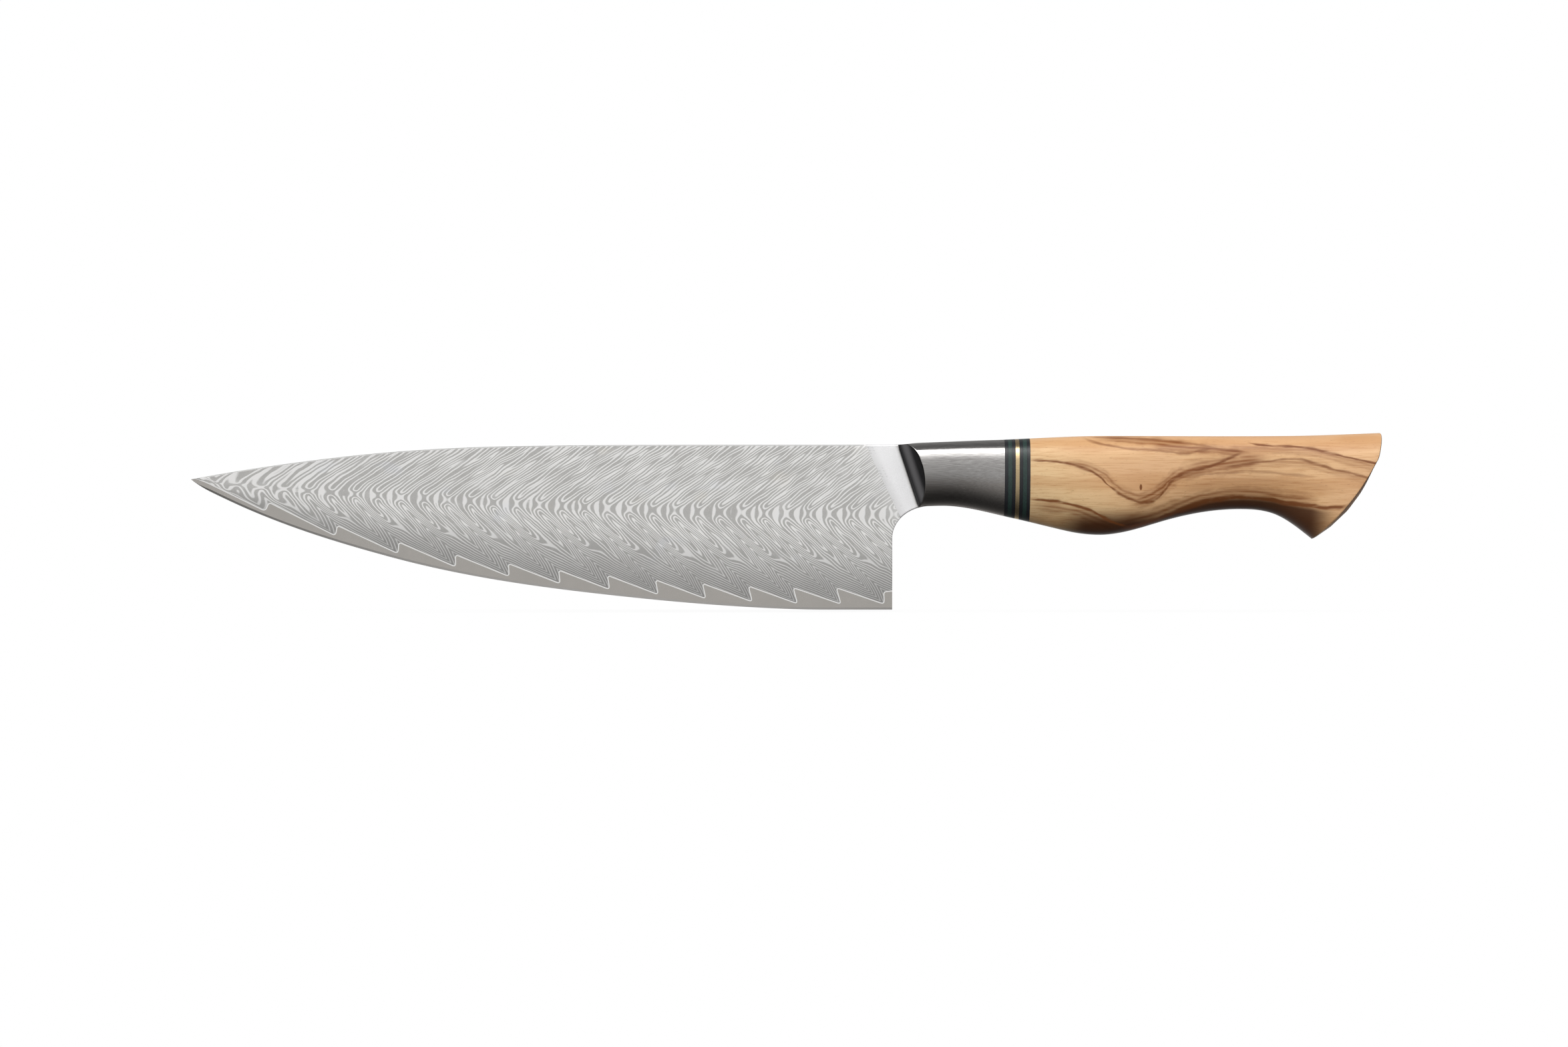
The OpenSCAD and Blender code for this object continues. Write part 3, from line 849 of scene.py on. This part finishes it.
def satin_steel(name, tone, tones, rough=0.42):
    """Plain ground steel with a fine tooth and a brighter cutting bevel."""
    material, tree = new_material(name, tones.metal)
    grain = grain_in(tree, 0.5, 0.16)
    colour = grained(grain["Specks"], toned(tone, 0.93), toned(tone, 1.07))
    colour = mixed(grain["Clouds"].ramp(0.35, 0.75), colour, toned(tone, 0.94))
    bevel = Place(tree).facing_z.ramp(-0.06, -0.22)
    return finished(material, mixed(bevel, colour, (0.68, 0.66, 0.64)),
                    grain["Clouds"] * 0.12 + rough - 0.06, grain["Specks"], 0.008, 0.4)


def bolster_steel(tones):
    """Blasted neck that turns into the brushed, half-polished body."""
    material, tree = new_material("Bolster steel", 1.0)
    at = Place(tree)
    grain = grain_in(tree, 14.0, 0.10)
    front = past_front(at).ramp(-1.6, 0.5)
    body = grained(grain["Streaks"], (0.40, 0.385, 0.375), (0.66, 0.65, 0.64))
    neck = grained(grain["Specks"], toned(tones.neck, 0.9), tones.neck)
    # Two rows of faint ticks along the weld
    weld = past_weld(at)
    tick = (at.z * 1.15).math("FRACT").ramp(0.35, 0.6)
    tick = tick * at.noise((3, 3, 4), 1.0, 0.5, 6.0).ramp(-0.1, 0.1)
    rows = ((weld - 0.35).math("ABSOLUTE").ramp(0.4, 0.1)).math(
        "MAXIMUM", (weld - 1.5).math("ABSOLUTE").ramp(0.4, 0.1) * 0.6)
    seam = rows * tick
    neck = mixed((weld.ramp(3.0, 0.0) * 0.4).math("MAXIMUM", seam * 0.8), neck, (0.60, 0.60, 0.60))
    # Painted shade: the bolster body turns darker and browner towards its bottom
    brown = (at.z + at.noise((12, 4, 1.2), 2.0, 0.5, 4.0) * 6).ramp(41, 36)
    body = mixed(brown * 0.35, body, (0.50, 0.42, 0.36))
    # Painted dark reflection: the scooped facets, which face forward, are near black, with a painted
    # highlight in a lighter grey band near the neck
    facet = at.facing_x.ramp(-0.3, -0.6)
    painted_facet_highlight = (past_front(at) - 1.9).math("ABSOLUTE").ramp(1.7, 0.2)
    body = mixed(facet, body, mixed(painted_facet_highlight, (0.035, 0.034, 0.036), (0.21, 0.205, 0.21)))
    rough = front.ramp(0, 1, 0.62, 0.0, "LINEAR") + front * (grain["Streaks"] * 0.22 + 0.10)
    height = grain["Streaks"] * front * 0.7 + grain["Specks"] * (1 - front) - seam * 1.5
    return finished(material, mixed(front, neck, body), rough, height, 0.012, 0.5)


def fibre(name, tone):
    """Pressed fibre sheet, sanded flush."""
    material, tree = new_material(name, 0.0, Coat_Weight=0.25, Coat_Roughness=0.25)
    grain = grain_in(tree, 0.25, 0.5)
    colour = grained(grain["Streaks"], toned(tone, 0.7), toned(tone, 1.35))
    colour = mixed(rubbed_in(tree, 0.02, 10.0) * 0.3, colour, tuple(c * 2 + 0.01 for c in tone))
    return finished(material, colour, grain["Specks"] * 0.2 + 0.30, grain["Streaks"], 0.015, 0.4)


def brass(tone):
    """Brass sheet, sanded flush, with brighter rubbed edges."""
    material, tree = new_material("Brass sheet", 1.0)
    grain = grain_in(tree, 10.0, 0.10)
    colour = grained(grain["Streaks"], toned(tone, 0.82), tone)
    colour = mixed(rubbed_in(tree, 0.02, 10.0) * 0.4, colour, (0.95, 0.82, 0.55))
    return finished(material, colour, grain["Streaks"] * 0.2 + 0.18, grain["Streaks"], 0.01, 0.4)


# Dark veins as they run on the left side: (points, half-width, depth of colour)
VEINS = (
    (((41, 44.5), (51, 43.6), (57, 41.8), (61, 39.6), (65, 36.1), (68, 34.1), (71, 32.8), (74, 32.1),
      (77.3, 32.6), (80.8, 35.4), (83, 38.1), (86, 40.1), (91, 41.6), (97, 43.6), (104, 46.6)),
     0.6, 0.75),
    (((41, 33.2), (51, 32.1), (56, 30.6), (61, 28.6), (65, 26.8), (70, 25.4)), 0.5, 0.9),
    (((57, 51.4), (60, 49.8), (63, 49.1), (69, 48.1), (76, 47.6), (83, 46.7), (87, 46.5), (91, 47.3),
      (96, 48.3)), 0.6, 0.5),
    (((59, 51.6), (71, 51.5), (81, 50.6), (91, 49.4), (97, 48.0), (104, 47.2)), 0.5, 0.4),
    (((106, 50.0), (112, 48.9), (117, 48.6), (125, 47.6), (131, 46.1), (137, 44.6), (146, 42.6)),
     0.5, 0.75),
    (((99, 42.6), (106, 43.4), (111, 44.1), (119, 44.6), (125, 43.4), (131, 41.6), (137, 40.1),
      (143, 37.8)), 0.5, 0.6),
    (((88, 39.6), (93, 40.3), (99, 40.8), (106, 41), (116, 40.4), (126, 39.2)), 0.5, 0.35),
    (((69, 24.9), (76, 26.6), (81, 28.6), (86, 30.6), (91, 32.1), (97, 33.4), (104, 33.9),
      (111, 33.5), (117, 32.4), (124, 31.1), (131, 30.1), (135, 30.6)), 0.7, 0.95),
)
# The one knot, on the left side: (x, z) and its half sizes
KNOT = (73.8, 36.6)
KNOT_HALF = (0.5, 1.1)
# Broad soft brown bands: (points, half-width, depth of colour)
BANDS = (
    (((50, 44.0), (57, 42.6), (62, 40.4), (66, 36.9), (70, 34.5), (75, 33.6), (79, 35.6), (83, 39.2),
      (87, 41.4)), 1.8, 0.7),
    (((70, 31.8), (75, 33.2), (79.7, 35.6), (84.4, 39.6), (89, 41.4), (95, 42.6), (103, 43.6),
      (112, 44.4)), 2.8, 1.0),
    (((60, 51.2), (68, 51.0), (76, 50.4), (84, 49.6), (91, 48.8)), 1.7, 0.95),
    (((75, 49.6), (84, 48.4), (92, 47.8), (100, 47.0), (108, 46.4)), 1.9, 1.0),
    (((100, 47.4), (108, 48.0), (117, 47.2), (125, 46.6), (133, 44.6), (146, 41.4)), 1.6, 0.6),
    (((92, 42.2), (102, 42.8), (112, 43.6), (122, 43.2), (132, 40.6), (142, 37.2)), 1.6, 0.5),
    (((86, 36.4), (96, 37.6), (108, 38.4), (120, 37.4), (132, 34.6)), 2.0, 0.22),
    (((41, 31.4), (52, 30.0), (60, 27.4), (68, 24.8)), 2.2, 0.8),
    (((66, 25.6), (76, 28.2), (86, 31.8), (96, 34.6), (106, 35.2), (118, 33.6), (127, 32.4)), 2.4, 0.8),
)


def olive_wood(tones):
    """Oiled olive: straw ground, fine pores and brown veins that run through the block."""
    material, tree = new_material("Olive wood", 0.0, Specular_IOR_Level=0.3, Coat_Weight=0.06,
                                  Coat_Roughness=0.22)
    at = Place(tree)
    drift = at.noise((16, 10, 4), 2.0, 0.5, 2.0) * 1.3 + at.noise((5, 5, 1.2), 2.0, 0.5, 3.0) * 0.5
    level = at.z + (at.y + 9.0) * 0.16 + drift
    bands = (level * 0.55 + at.noise((30, 14, 6), 2.0, 0.5, 5.0) * 5.0).math("SINE") * 0.5 + 0.5
    fine = at.noise((9, 1.2, 0.35), 3.0, 0.6, 6.0)
    patch = at.noise((22, 12, 9), 2.0, 0.5, 9.0).ramp(-0.12, 0.16)
    colour = mixed(patch, tones.wood, tones.wood_pink)
    yellow = (at.x + at.z * 1.2).ramp(118, 88) * 0.75
    colour = mixed(yellow, colour, tones.wood_yellow)
    colour = mixed(bands.ramp(0.55, 1.0) * 0.34, colour, tones.wood_streak)
    # Painted shade: the wood turns browner along its top
    painted_top_shade = at.z.ramp(48.5, 52.0) * 0.38
    colour = mixed((fine.ramp(-0.05, 0.22) * 0.5).math("MAXIMUM", painted_top_shade), colour,
                   tones.wood_streak)
    swell = at.noise((5, 8, 3), 2.0, 0.5, 21.0) * 2.2 + 1.25
    wander = at.noise((20, 8, 3), 2.0, 0.5, 23.0) * 6.0

    def traced(group, reach, inner, threads=0.0):
        """Mask of the veins of a group, fading over the reach at their ends."""
        total = None
        for points, half, depth in group:
            gap = level - at.x.curve(points)
            if threads:
                thread = (gap * 4.6 + wander).math("SINE") * threads + (1 - threads)
            gap = gap.math("ABSOLUTE") / swell.math("MAXIMUM", 0.35)
            ends = at.x.ramp(points[0][0] - 1.0, points[0][0] + reach) * at.x.ramp(
                points[-1][0] + 1.0, points[-1][0] - reach)
            mask = gap.ramp(half, half * inner) * ends * depth
            mask = mask * thread if threads else mask
            total = mask if total is None else total.math("MAXIMUM", mask)
        return total

    band = traced(BANDS, 6.0, 0.0, 0.24) * (fine * 0.9 + 1.0)
    colour = mixed(band.math("MINIMUM", 1.0), colour, tones.wood_band)
    dark = traced(VEINS, 2.5, 0.1)
    from_knot = (((at.x - KNOT[0]) / KNOT_HALF[0]).math("POWER", 2.0)
                 + ((at.z - KNOT[1]) / KNOT_HALF[1]).math("POWER", 2.0))
    knot = from_knot.ramp(1.0, 0.3) * at.y.ramp(0.0, -1.0)
    patchy = at.noise((4, 3, 1.0), 2.0, 0.5, 12.0).ramp(-0.3, 0.12, 0.45, 1.0)
    dark = (dark * patchy * 1.3).math("MAXIMUM", knot * 0.95).math("MINIMUM", 0.95)
    # Painted shade, partly darker wood: the belly and the underside below the lowest vein are darkened
    # to deep brown
    heart_line = at.x.curve(VEINS[-1][0])
    heart_and_shade = (heart_line - at.z).ramp(-0.8, 1.6) * at.x.ramp(66, 74) * at.x.ramp(134, 124)
    belly = (at.z - under_z(60)).ramp(9.0, 2.6) * at.x.ramp(46, 58) * at.x.ramp(86, 72)
    colour = mixed((heart_and_shade * 0.95).math("MAXIMUM", belly * 0.96), colour, tones.wood_heart_and_shade)
    colour = mixed(dark, colour, tones.wood_vein)
    pores = at.noise((1.6, 0.2, 0.16), 1.0, 0.5, 15.0).ramp(0.17, 0.26)
    colour = mixed(pores * 0.35, colour, tones.wood_vein)
    # End grain, with painted shade on it: dark at its rim, mid brown with soft rings on the face
    end = at.facing_x.ramp(0.45, 0.75) * at.x.ramp(118, 122)
    rings = mixed((bands + fine).ramp(0.2, 1.0), (0.24, 0.12, 0.055), (0.15, 0.068, 0.03))
    face = (at.facing_x * at.facing_x + at.facing_z * at.facing_z).ramp(0.8, 0.98)
    colour = mixed(end * 0.97, colour, mixed(face, toned(tones.wood_heart_and_shade, 0.8), rings))
    colour = mixed(rubbed_in(tree, 0.03, 8.0) * 0.2, colour, tones.wood_yellow)
    return finished(material, colour, fine * 0.25 + dark * 0.1 + end * 0.45 + 0.36,
                    fine * 0.5 - pores * 0.6 - dark * 0.3, 0.03, 0.5)


def hidden_finish(name, dark, light, metal):
    """Rough finish of the pieces inside the handle."""
    material, tree = new_material(name, metal)
    grain = grain_in(tree, 1.5, 0.3)
    return finished(material, grained(grain["Streaks"], dark, light), grain["Clouds"] * 0.2 + 0.45,
                    grain["Streaks"], 0.03, 0.5)


# ---- Settings -------------------------------------------------------------------------------------

def length_mm(name, text, value, low, high):
    return bpy.props.FloatProperty(name=name, description=text, default=value * MM, min=low * MM,
                                   max=high * MM, unit="LENGTH", precision=5)


def tone(name, text, value):
    return bpy.props.FloatVectorProperty(name=name, description=text, default=value, size=3,
                                         min=0.0, max=1.0, subtype="COLOR")


class KnifeShape(bpy.types.PropertyGroup):
    spine_round: length_mm("Spine rounding", "Radius along the blade's spine", 0.35, 0.1, 0.6)
    bevel_high: length_mm("Edge bevel", "Height of the ground cutting bevel", 0.65, 0.5, 1.1)
    edge_land: length_mm("Edge land", "Flat left at the very edge", 0.06, 0.04, 0.1)
    border_width: length_mm("Border line", "Width of the bright line on the border", 0.34, 0.2, 0.5)
    border_top: length_mm("Ridge rounding", "Reach of the rounding on ridge tops", 0.7, 0.2, 2)
    border_low: length_mm("Trough rounding", "Reach of the rounding in troughs", 1.5, 0.4, 3)
    fillet: length_mm("Facet fillet", "Softness of the join of neck and facet", 0.9, 0.4, 4)
    crease: length_mm("Facet crease", "Softness of the facet's outer edge", 0.22, 0.05, 1)
    spacer_ease: length_mm("Spacer easing", "Broken edge of each spacer", 0.03, 0.01, 0.1)
    butt_round: length_mm("Butt rounding", "Radius round the butt's face", 0.4, 0.1, 1.5)


class KnifeTones(bpy.types.PropertyGroup):
    metal: bpy.props.FloatProperty(name="Blade metal", description="How metallic the blade is",
                                   default=0.85, min=0.0, max=1.0, subtype="FACTOR")
    pale_layer: tone("Pale layers", "Bright nickel layers", (0.96, 0.955, 0.95))
    dark_layer: tone("Grey layers", "Etched grey layers", (0.46, 0.455, 0.445))
    border: tone("Border line", "Bright line along the border", (0.95, 0.945, 0.94))
    core: tone("Core steel", "Hard core along the edge", (0.46, 0.44, 0.415))
    neck: tone("Neck", "Blasted steel of the neck", (0.96, 0.96, 0.97))
    black: tone("Black fibre", "Black spacers", (0.008, 0.009, 0.012))
    green: tone("Green fibre", "Green spacers", (0.014, 0.032, 0.028))
    brass: tone("Brass", "Brass spacer", (0.80, 0.60, 0.34))
    wood: tone("Wood ground", "Ground colour of the wood", (0.76, 0.475, 0.25))
    wood_pink: tone("Wood pink", "Pinkish patches", (0.73, 0.445, 0.24))
    wood_yellow: tone("Wood yellow", "Straw patches near the spacers", (0.79, 0.575, 0.315))
    wood_streak: tone("Wood streaks", "Soft brown bands", (0.49, 0.222, 0.078))
    wood_band: tone("Wood bands", "Broad brown bands", (0.25, 0.086, 0.025))
    wood_vein: tone("Wood veins", "Dark veins", (0.2, 0.064, 0.017))
    wood_heart_and_shade: tone("Heartwood and shade", "Brown underside", (0.07, 0.022, 0.008))


class KnifeStage(bpy.types.PropertyGroup):
    distance: bpy.props.FloatProperty(name="Camera distance", description="From the blade",
                                      default=1.7, min=0.5, max=5, unit="LENGTH")
    frame_width: bpy.props.FloatProperty(name="Framed width", description="Width seen at the blade",
                                         default=0.4696, min=0.2, max=1, unit="LENGTH")
    look_x: bpy.props.FloatProperty(name="Aim along", description="Middle of the view along the knife",
                                    default=-0.0004, unit="LENGTH")
    look_z: bpy.props.FloatProperty(name="Aim height", description="Middle of the view upwards",
                                    default=0.0258, unit="LENGTH")
    key: bpy.props.FloatProperty(name="Key light", description="Power of the soft light in watts",
                                 default=5.5, min=0, max=200)
    room: bpy.props.FloatProperty(name="Room", description="Brightness of the studio round the knife",
                                  default=1.0, min=0, max=4)


def settings(context):
    return context.scene.knife_shape, context.scene.knife_tones


def border_of(shape):
    return border_line(shape.border_top / MM, shape.border_low / MM)


class KNIFE_OT_core(bpy.types.Operator):
    """Make the hard core layer with its ground edge"""
    bl_idname = "knife.core"
    bl_label = "Core Steel"

    def execute(self, context):
        shape, tones = settings(context)
        build_core(border_of(shape), shape.bevel_high / MM, shape.edge_land / MM,
                   satin_steel("Core steel", tones.core, tones))
        return {"FINISHED"}


class KNIFE_OT_jackets(bpy.types.Operator):
    """Make the two patterned jackets"""
    bl_idname = "knife.jackets"
    bl_label = "Patterned Jackets"

    def execute(self, context):
        shape, tones = settings(context)
        materials = [layered_steel(tones), satin_steel("Bright layer", tones.border, tones, 0.34)]
        for side in (-1, 1):
            build_jacket(side, border_of(shape), shape.border_width / MM, shape.spine_round / MM,
                         materials)
        return {"FINISHED"}


class KNIFE_OT_bolster(bpy.types.Operator):
    """Make the neck and bolster"""
    bl_idname = "knife.bolster"
    bl_label = "Bolster"

    def execute(self, context):
        shape, tones = settings(context)
        build_bolster(shape.fillet / MM, shape.crease / MM, shape.spine_round / MM,
                      bolster_steel(tones))
        return {"FINISHED"}


class KNIFE_OT_spacers(bpy.types.Operator):
    """Make the seven spacers"""
    bl_idname = "knife.spacers"
    bl_label = "Spacers"

    def execute(self, context):
        shape, tones = settings(context)
        materials = {"black_fibre": fibre("Black fibre", tones.black),
                     "green_fibre": fibre("Green fibre", tones.green),
                     "spacer_brass": brass(tuple(tones.brass))}
        start = BOLSTER_END
        for name, thick, slot in SPACERS:
            build_spacer(name, start, thick, shape.spacer_ease / MM, materials[slot])
            start += thick
        return {"FINISHED"}


class KNIFE_OT_grip(bpy.types.Operator):
    """Make the wooden handle"""
    bl_idname = "knife.grip"
    bl_label = "Wooden Handle"

    def execute(self, context):
        shape, tones = settings(context)
        build_handle(shape.butt_round / MM, olive_wood(tones))
        return {"FINISHED"}


class KNIFE_OT_inside(bpy.types.Operator):
    """Finish the hidden tang and its adhesive"""
    bl_idname = "knife.inside"
    bl_label = "Tang and Adhesive"

    def execute(self, context):
        finishes = {"tang": hidden_finish("Tang steel", (0.16, 0.16, 0.17), (0.4, 0.4, 0.41), 1.0),
                    "adhesive_fill": hidden_finish("Cured adhesive", (0.45, 0.36, 0.2),
                                                   (0.6, 0.5, 0.3), 0.0)}
        for node, material in finishes.items():
            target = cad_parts[node]
            target.data.materials.clear()
            target.data.materials.append(material)
        return {"FINISHED"}


class KNIFE_OT_stage(bpy.types.Operator):
    """Make the floor, the lights and the camera"""
    bl_idname = "knife.stage"
    bl_label = "Stage"

    def execute(self, context):
        scene, stage = context.scene, context.scene.knife_stage
        scene.view_settings.view_transform = "Standard"
        build_floor()
        build_lights(stage)
        build_room(stage)
        scene.camera = build_camera(stage)
        return {"FINISHED"}


def build_camera(stage):
    """A camera level with the knife that looks square at its left side."""
    data = bpy.data.cameras.new("View")
    data.lens = data.sensor_width * stage.distance / stage.frame_width
    data.clip_start, data.clip_end = 0.01, 50
    camera = bpy.data.objects.new("View", data)
    camera.location = (stage.look_x, -stage.distance, stage.look_z)
    camera.rotation_euler = (math.pi / 2, 0, 0)
    bpy.context.scene.collection.objects.link(camera)
    return camera


FLOOR_RADIUS = 6.0
FLOOR_LEVEL = -0.0004
LIGHT_AIM = Vector((0, 0, 0.03))


def build_floor():
    """A pale round floor that glows evenly, with only a faint painted shadow under the knife."""
    mesh = bpy.data.meshes.new("floor")
    angles = [2 * math.pi * i / 64 for i in range(64)]
    mesh.from_pydata([(FLOOR_RADIUS * math.cos(a), FLOOR_RADIUS * math.sin(a), FLOOR_LEVEL)
                      for a in angles], [], [range(64)])
    floor = bpy.data.objects.new("floor", mesh)
    bpy.context.scene.collection.objects.link(floor)
    material = bpy.data.materials.new("Pale floor")
    material.use_nodes = True
    tree = material.node_tree
    tree.nodes.clear()
    near = tree.nodes.new("ShaderNodeAmbientOcclusion")
    near.inputs["Distance"].default_value = 0.06
    shade = Value(tree, near.outputs["AO"]).ramp(0.0, 0.95, 0.86, 1.0)
    glow = tree.nodes.new("ShaderNodeEmission")
    tree.links.new(shade.socket, glow.inputs["Strength"])
    out = tree.nodes.new("ShaderNodeOutputMaterial")
    tree.links.new(glow.outputs[0], out.inputs["Surface"])
    mesh.materials.append(material)
    floor.visible_diffuse = floor.visible_glossy = floor.visible_shadow = False


def area_light(name, at, size, power):
    """A soft light that faces the knife."""
    data = bpy.data.lights.new(name, "AREA")
    data.shape, data.size, data.size_y = "RECTANGLE", *size
    data.energy = power
    light = bpy.data.objects.new(name, data)
    light.location = at
    light.rotation_euler = (LIGHT_AIM - Vector(at)).to_track_quat("-Z", "Y").to_euler()
    bpy.context.scene.collection.objects.link(light)
    return light


def build_lights(stage):
    area_light("soft_key", (-0.05, -0.75, 0.80), (1.6, 0.55), stage.key)
    back = area_light("soft_back", (0.1, 0.9, 0.6), (1.4, 0.5), stage.key * 0.9)
    back.visible_glossy = False


def build_room(stage):
    """White to the eye, but dark below and over the top to the steel."""
    world = bpy.data.worlds.new("Studio")
    bpy.context.scene.world = world
    world.use_nodes = True
    tree = world.node_tree
    tree.nodes.clear()
    coord = tree.nodes.new("ShaderNodeTexCoord")
    split = tree.nodes.new("ShaderNodeSeparateXYZ")
    tree.links.new(coord.outputs["Generated"], split.inputs[0])
    up = Value(tree, split.outputs[2])
    front = Value(tree, split.outputs[1])
    level = up.curve([(-1, 0.02), (-0.92, 0.06), (-0.71, 0.24), (-0.4, 0.46), (-0.1, 0.52), (0.1, 0.6),
                      (0.2, 0.85), (0.35, 1.7), (0.6, 1.8), (0.78, 1.2), (0.9, 0.25), (1, 0.15)])
    behind = up.curve([(-1, 0.02), (-0.7, 0.2), (-0.4, 0.6), (-0.15, 1.0), (0.08, 1.0), (0.2, 0.45),
                       (0.35, 0.25), (0.6, 0.25), (1, 0.15)])
    turn = front.ramp(-0.1, 0.3)
    level = (level * (1 - turn) + behind * turn) * stage.room
    aside = Value(tree, split.outputs[0]).math("ABSOLUTE").ramp(0.45, 0.75) * up.ramp(0.4, 0.1)
    level = level * (1 - aside * 0.92)
    path = tree.nodes.new("ShaderNodeLightPath")
    spread = Value(tree, path.outputs["Is Diffuse Ray"])
    even = up.curve([(-1, 0.02), (-0.5, 0.1), (-0.15, 0.8), (0.15, 1.15), (0.5, 1.05), (1, 0.35)])
    level = level * (1 - spread) + even * spread * stage.room
    glow = tree.nodes.new("ShaderNodeBackground")
    glow.inputs["Color"].default_value = (1.0, 0.995, 0.985, 1)
    tree.links.new(level.socket, glow.inputs["Strength"])
    white = tree.nodes.new("ShaderNodeBackground")
    white.inputs["Color"].default_value = (1, 1, 1, 1)
    white.inputs["Strength"].default_value = 1.0
    choose = tree.nodes.new("ShaderNodeMixShader")
    tree.links.new(path.outputs["Is Camera Ray"], choose.inputs[0])
    tree.links.new(glow.outputs[0], choose.inputs[1])
    tree.links.new(white.outputs[0], choose.inputs[2])
    out = tree.nodes.new("ShaderNodeOutputWorld")
    tree.links.new(choose.outputs[0], out.inputs["Surface"])


STEPS = (KNIFE_OT_stage, KNIFE_OT_core, KNIFE_OT_jackets, KNIFE_OT_bolster, KNIFE_OT_spacers,
         KNIFE_OT_grip, KNIFE_OT_inside)


class KNIFE_PT_pieces(bpy.types.Panel):
    """Lists the sizes, colours and pieces"""
    bl_idname = "KNIFE_PT_pieces"
    bl_label = "Chef Knife"
    bl_space_type = "VIEW_3D"
    bl_region_type = "UI"
    bl_category = "Knife"

    def draw(self, context):
        for group in (*settings(context), context.scene.knife_stage):
            box = self.layout.box()
            for key in group.bl_rna.properties.keys():
                if key not in ("rna_type", "name"):
                    box.prop(group, key)
        for step in STEPS:
            self.layout.operator(step.bl_idname)


CLASSES = (KnifeShape, KnifeTones, KnifeStage, *STEPS, KNIFE_PT_pieces)


def register():
    for cls in CLASSES:
        bpy.utils.register_class(cls)
    bpy.types.Scene.knife_shape = bpy.props.PointerProperty(type=KnifeShape)
    bpy.types.Scene.knife_tones = bpy.props.PointerProperty(type=KnifeTones)
    bpy.types.Scene.knife_stage = bpy.props.PointerProperty(type=KnifeStage)


def unregister():
    del bpy.types.Scene.knife_shape, bpy.types.Scene.knife_tones, bpy.types.Scene.knife_stage
    for cls in reversed(CLASSES):
        bpy.utils.unregister_class(cls)


def main():
    register()
    for step in STEPS:
        area, name = step.bl_idname.split(".")
        getattr(getattr(bpy.ops, area), name)()


if __name__ == "__main__":
    main()
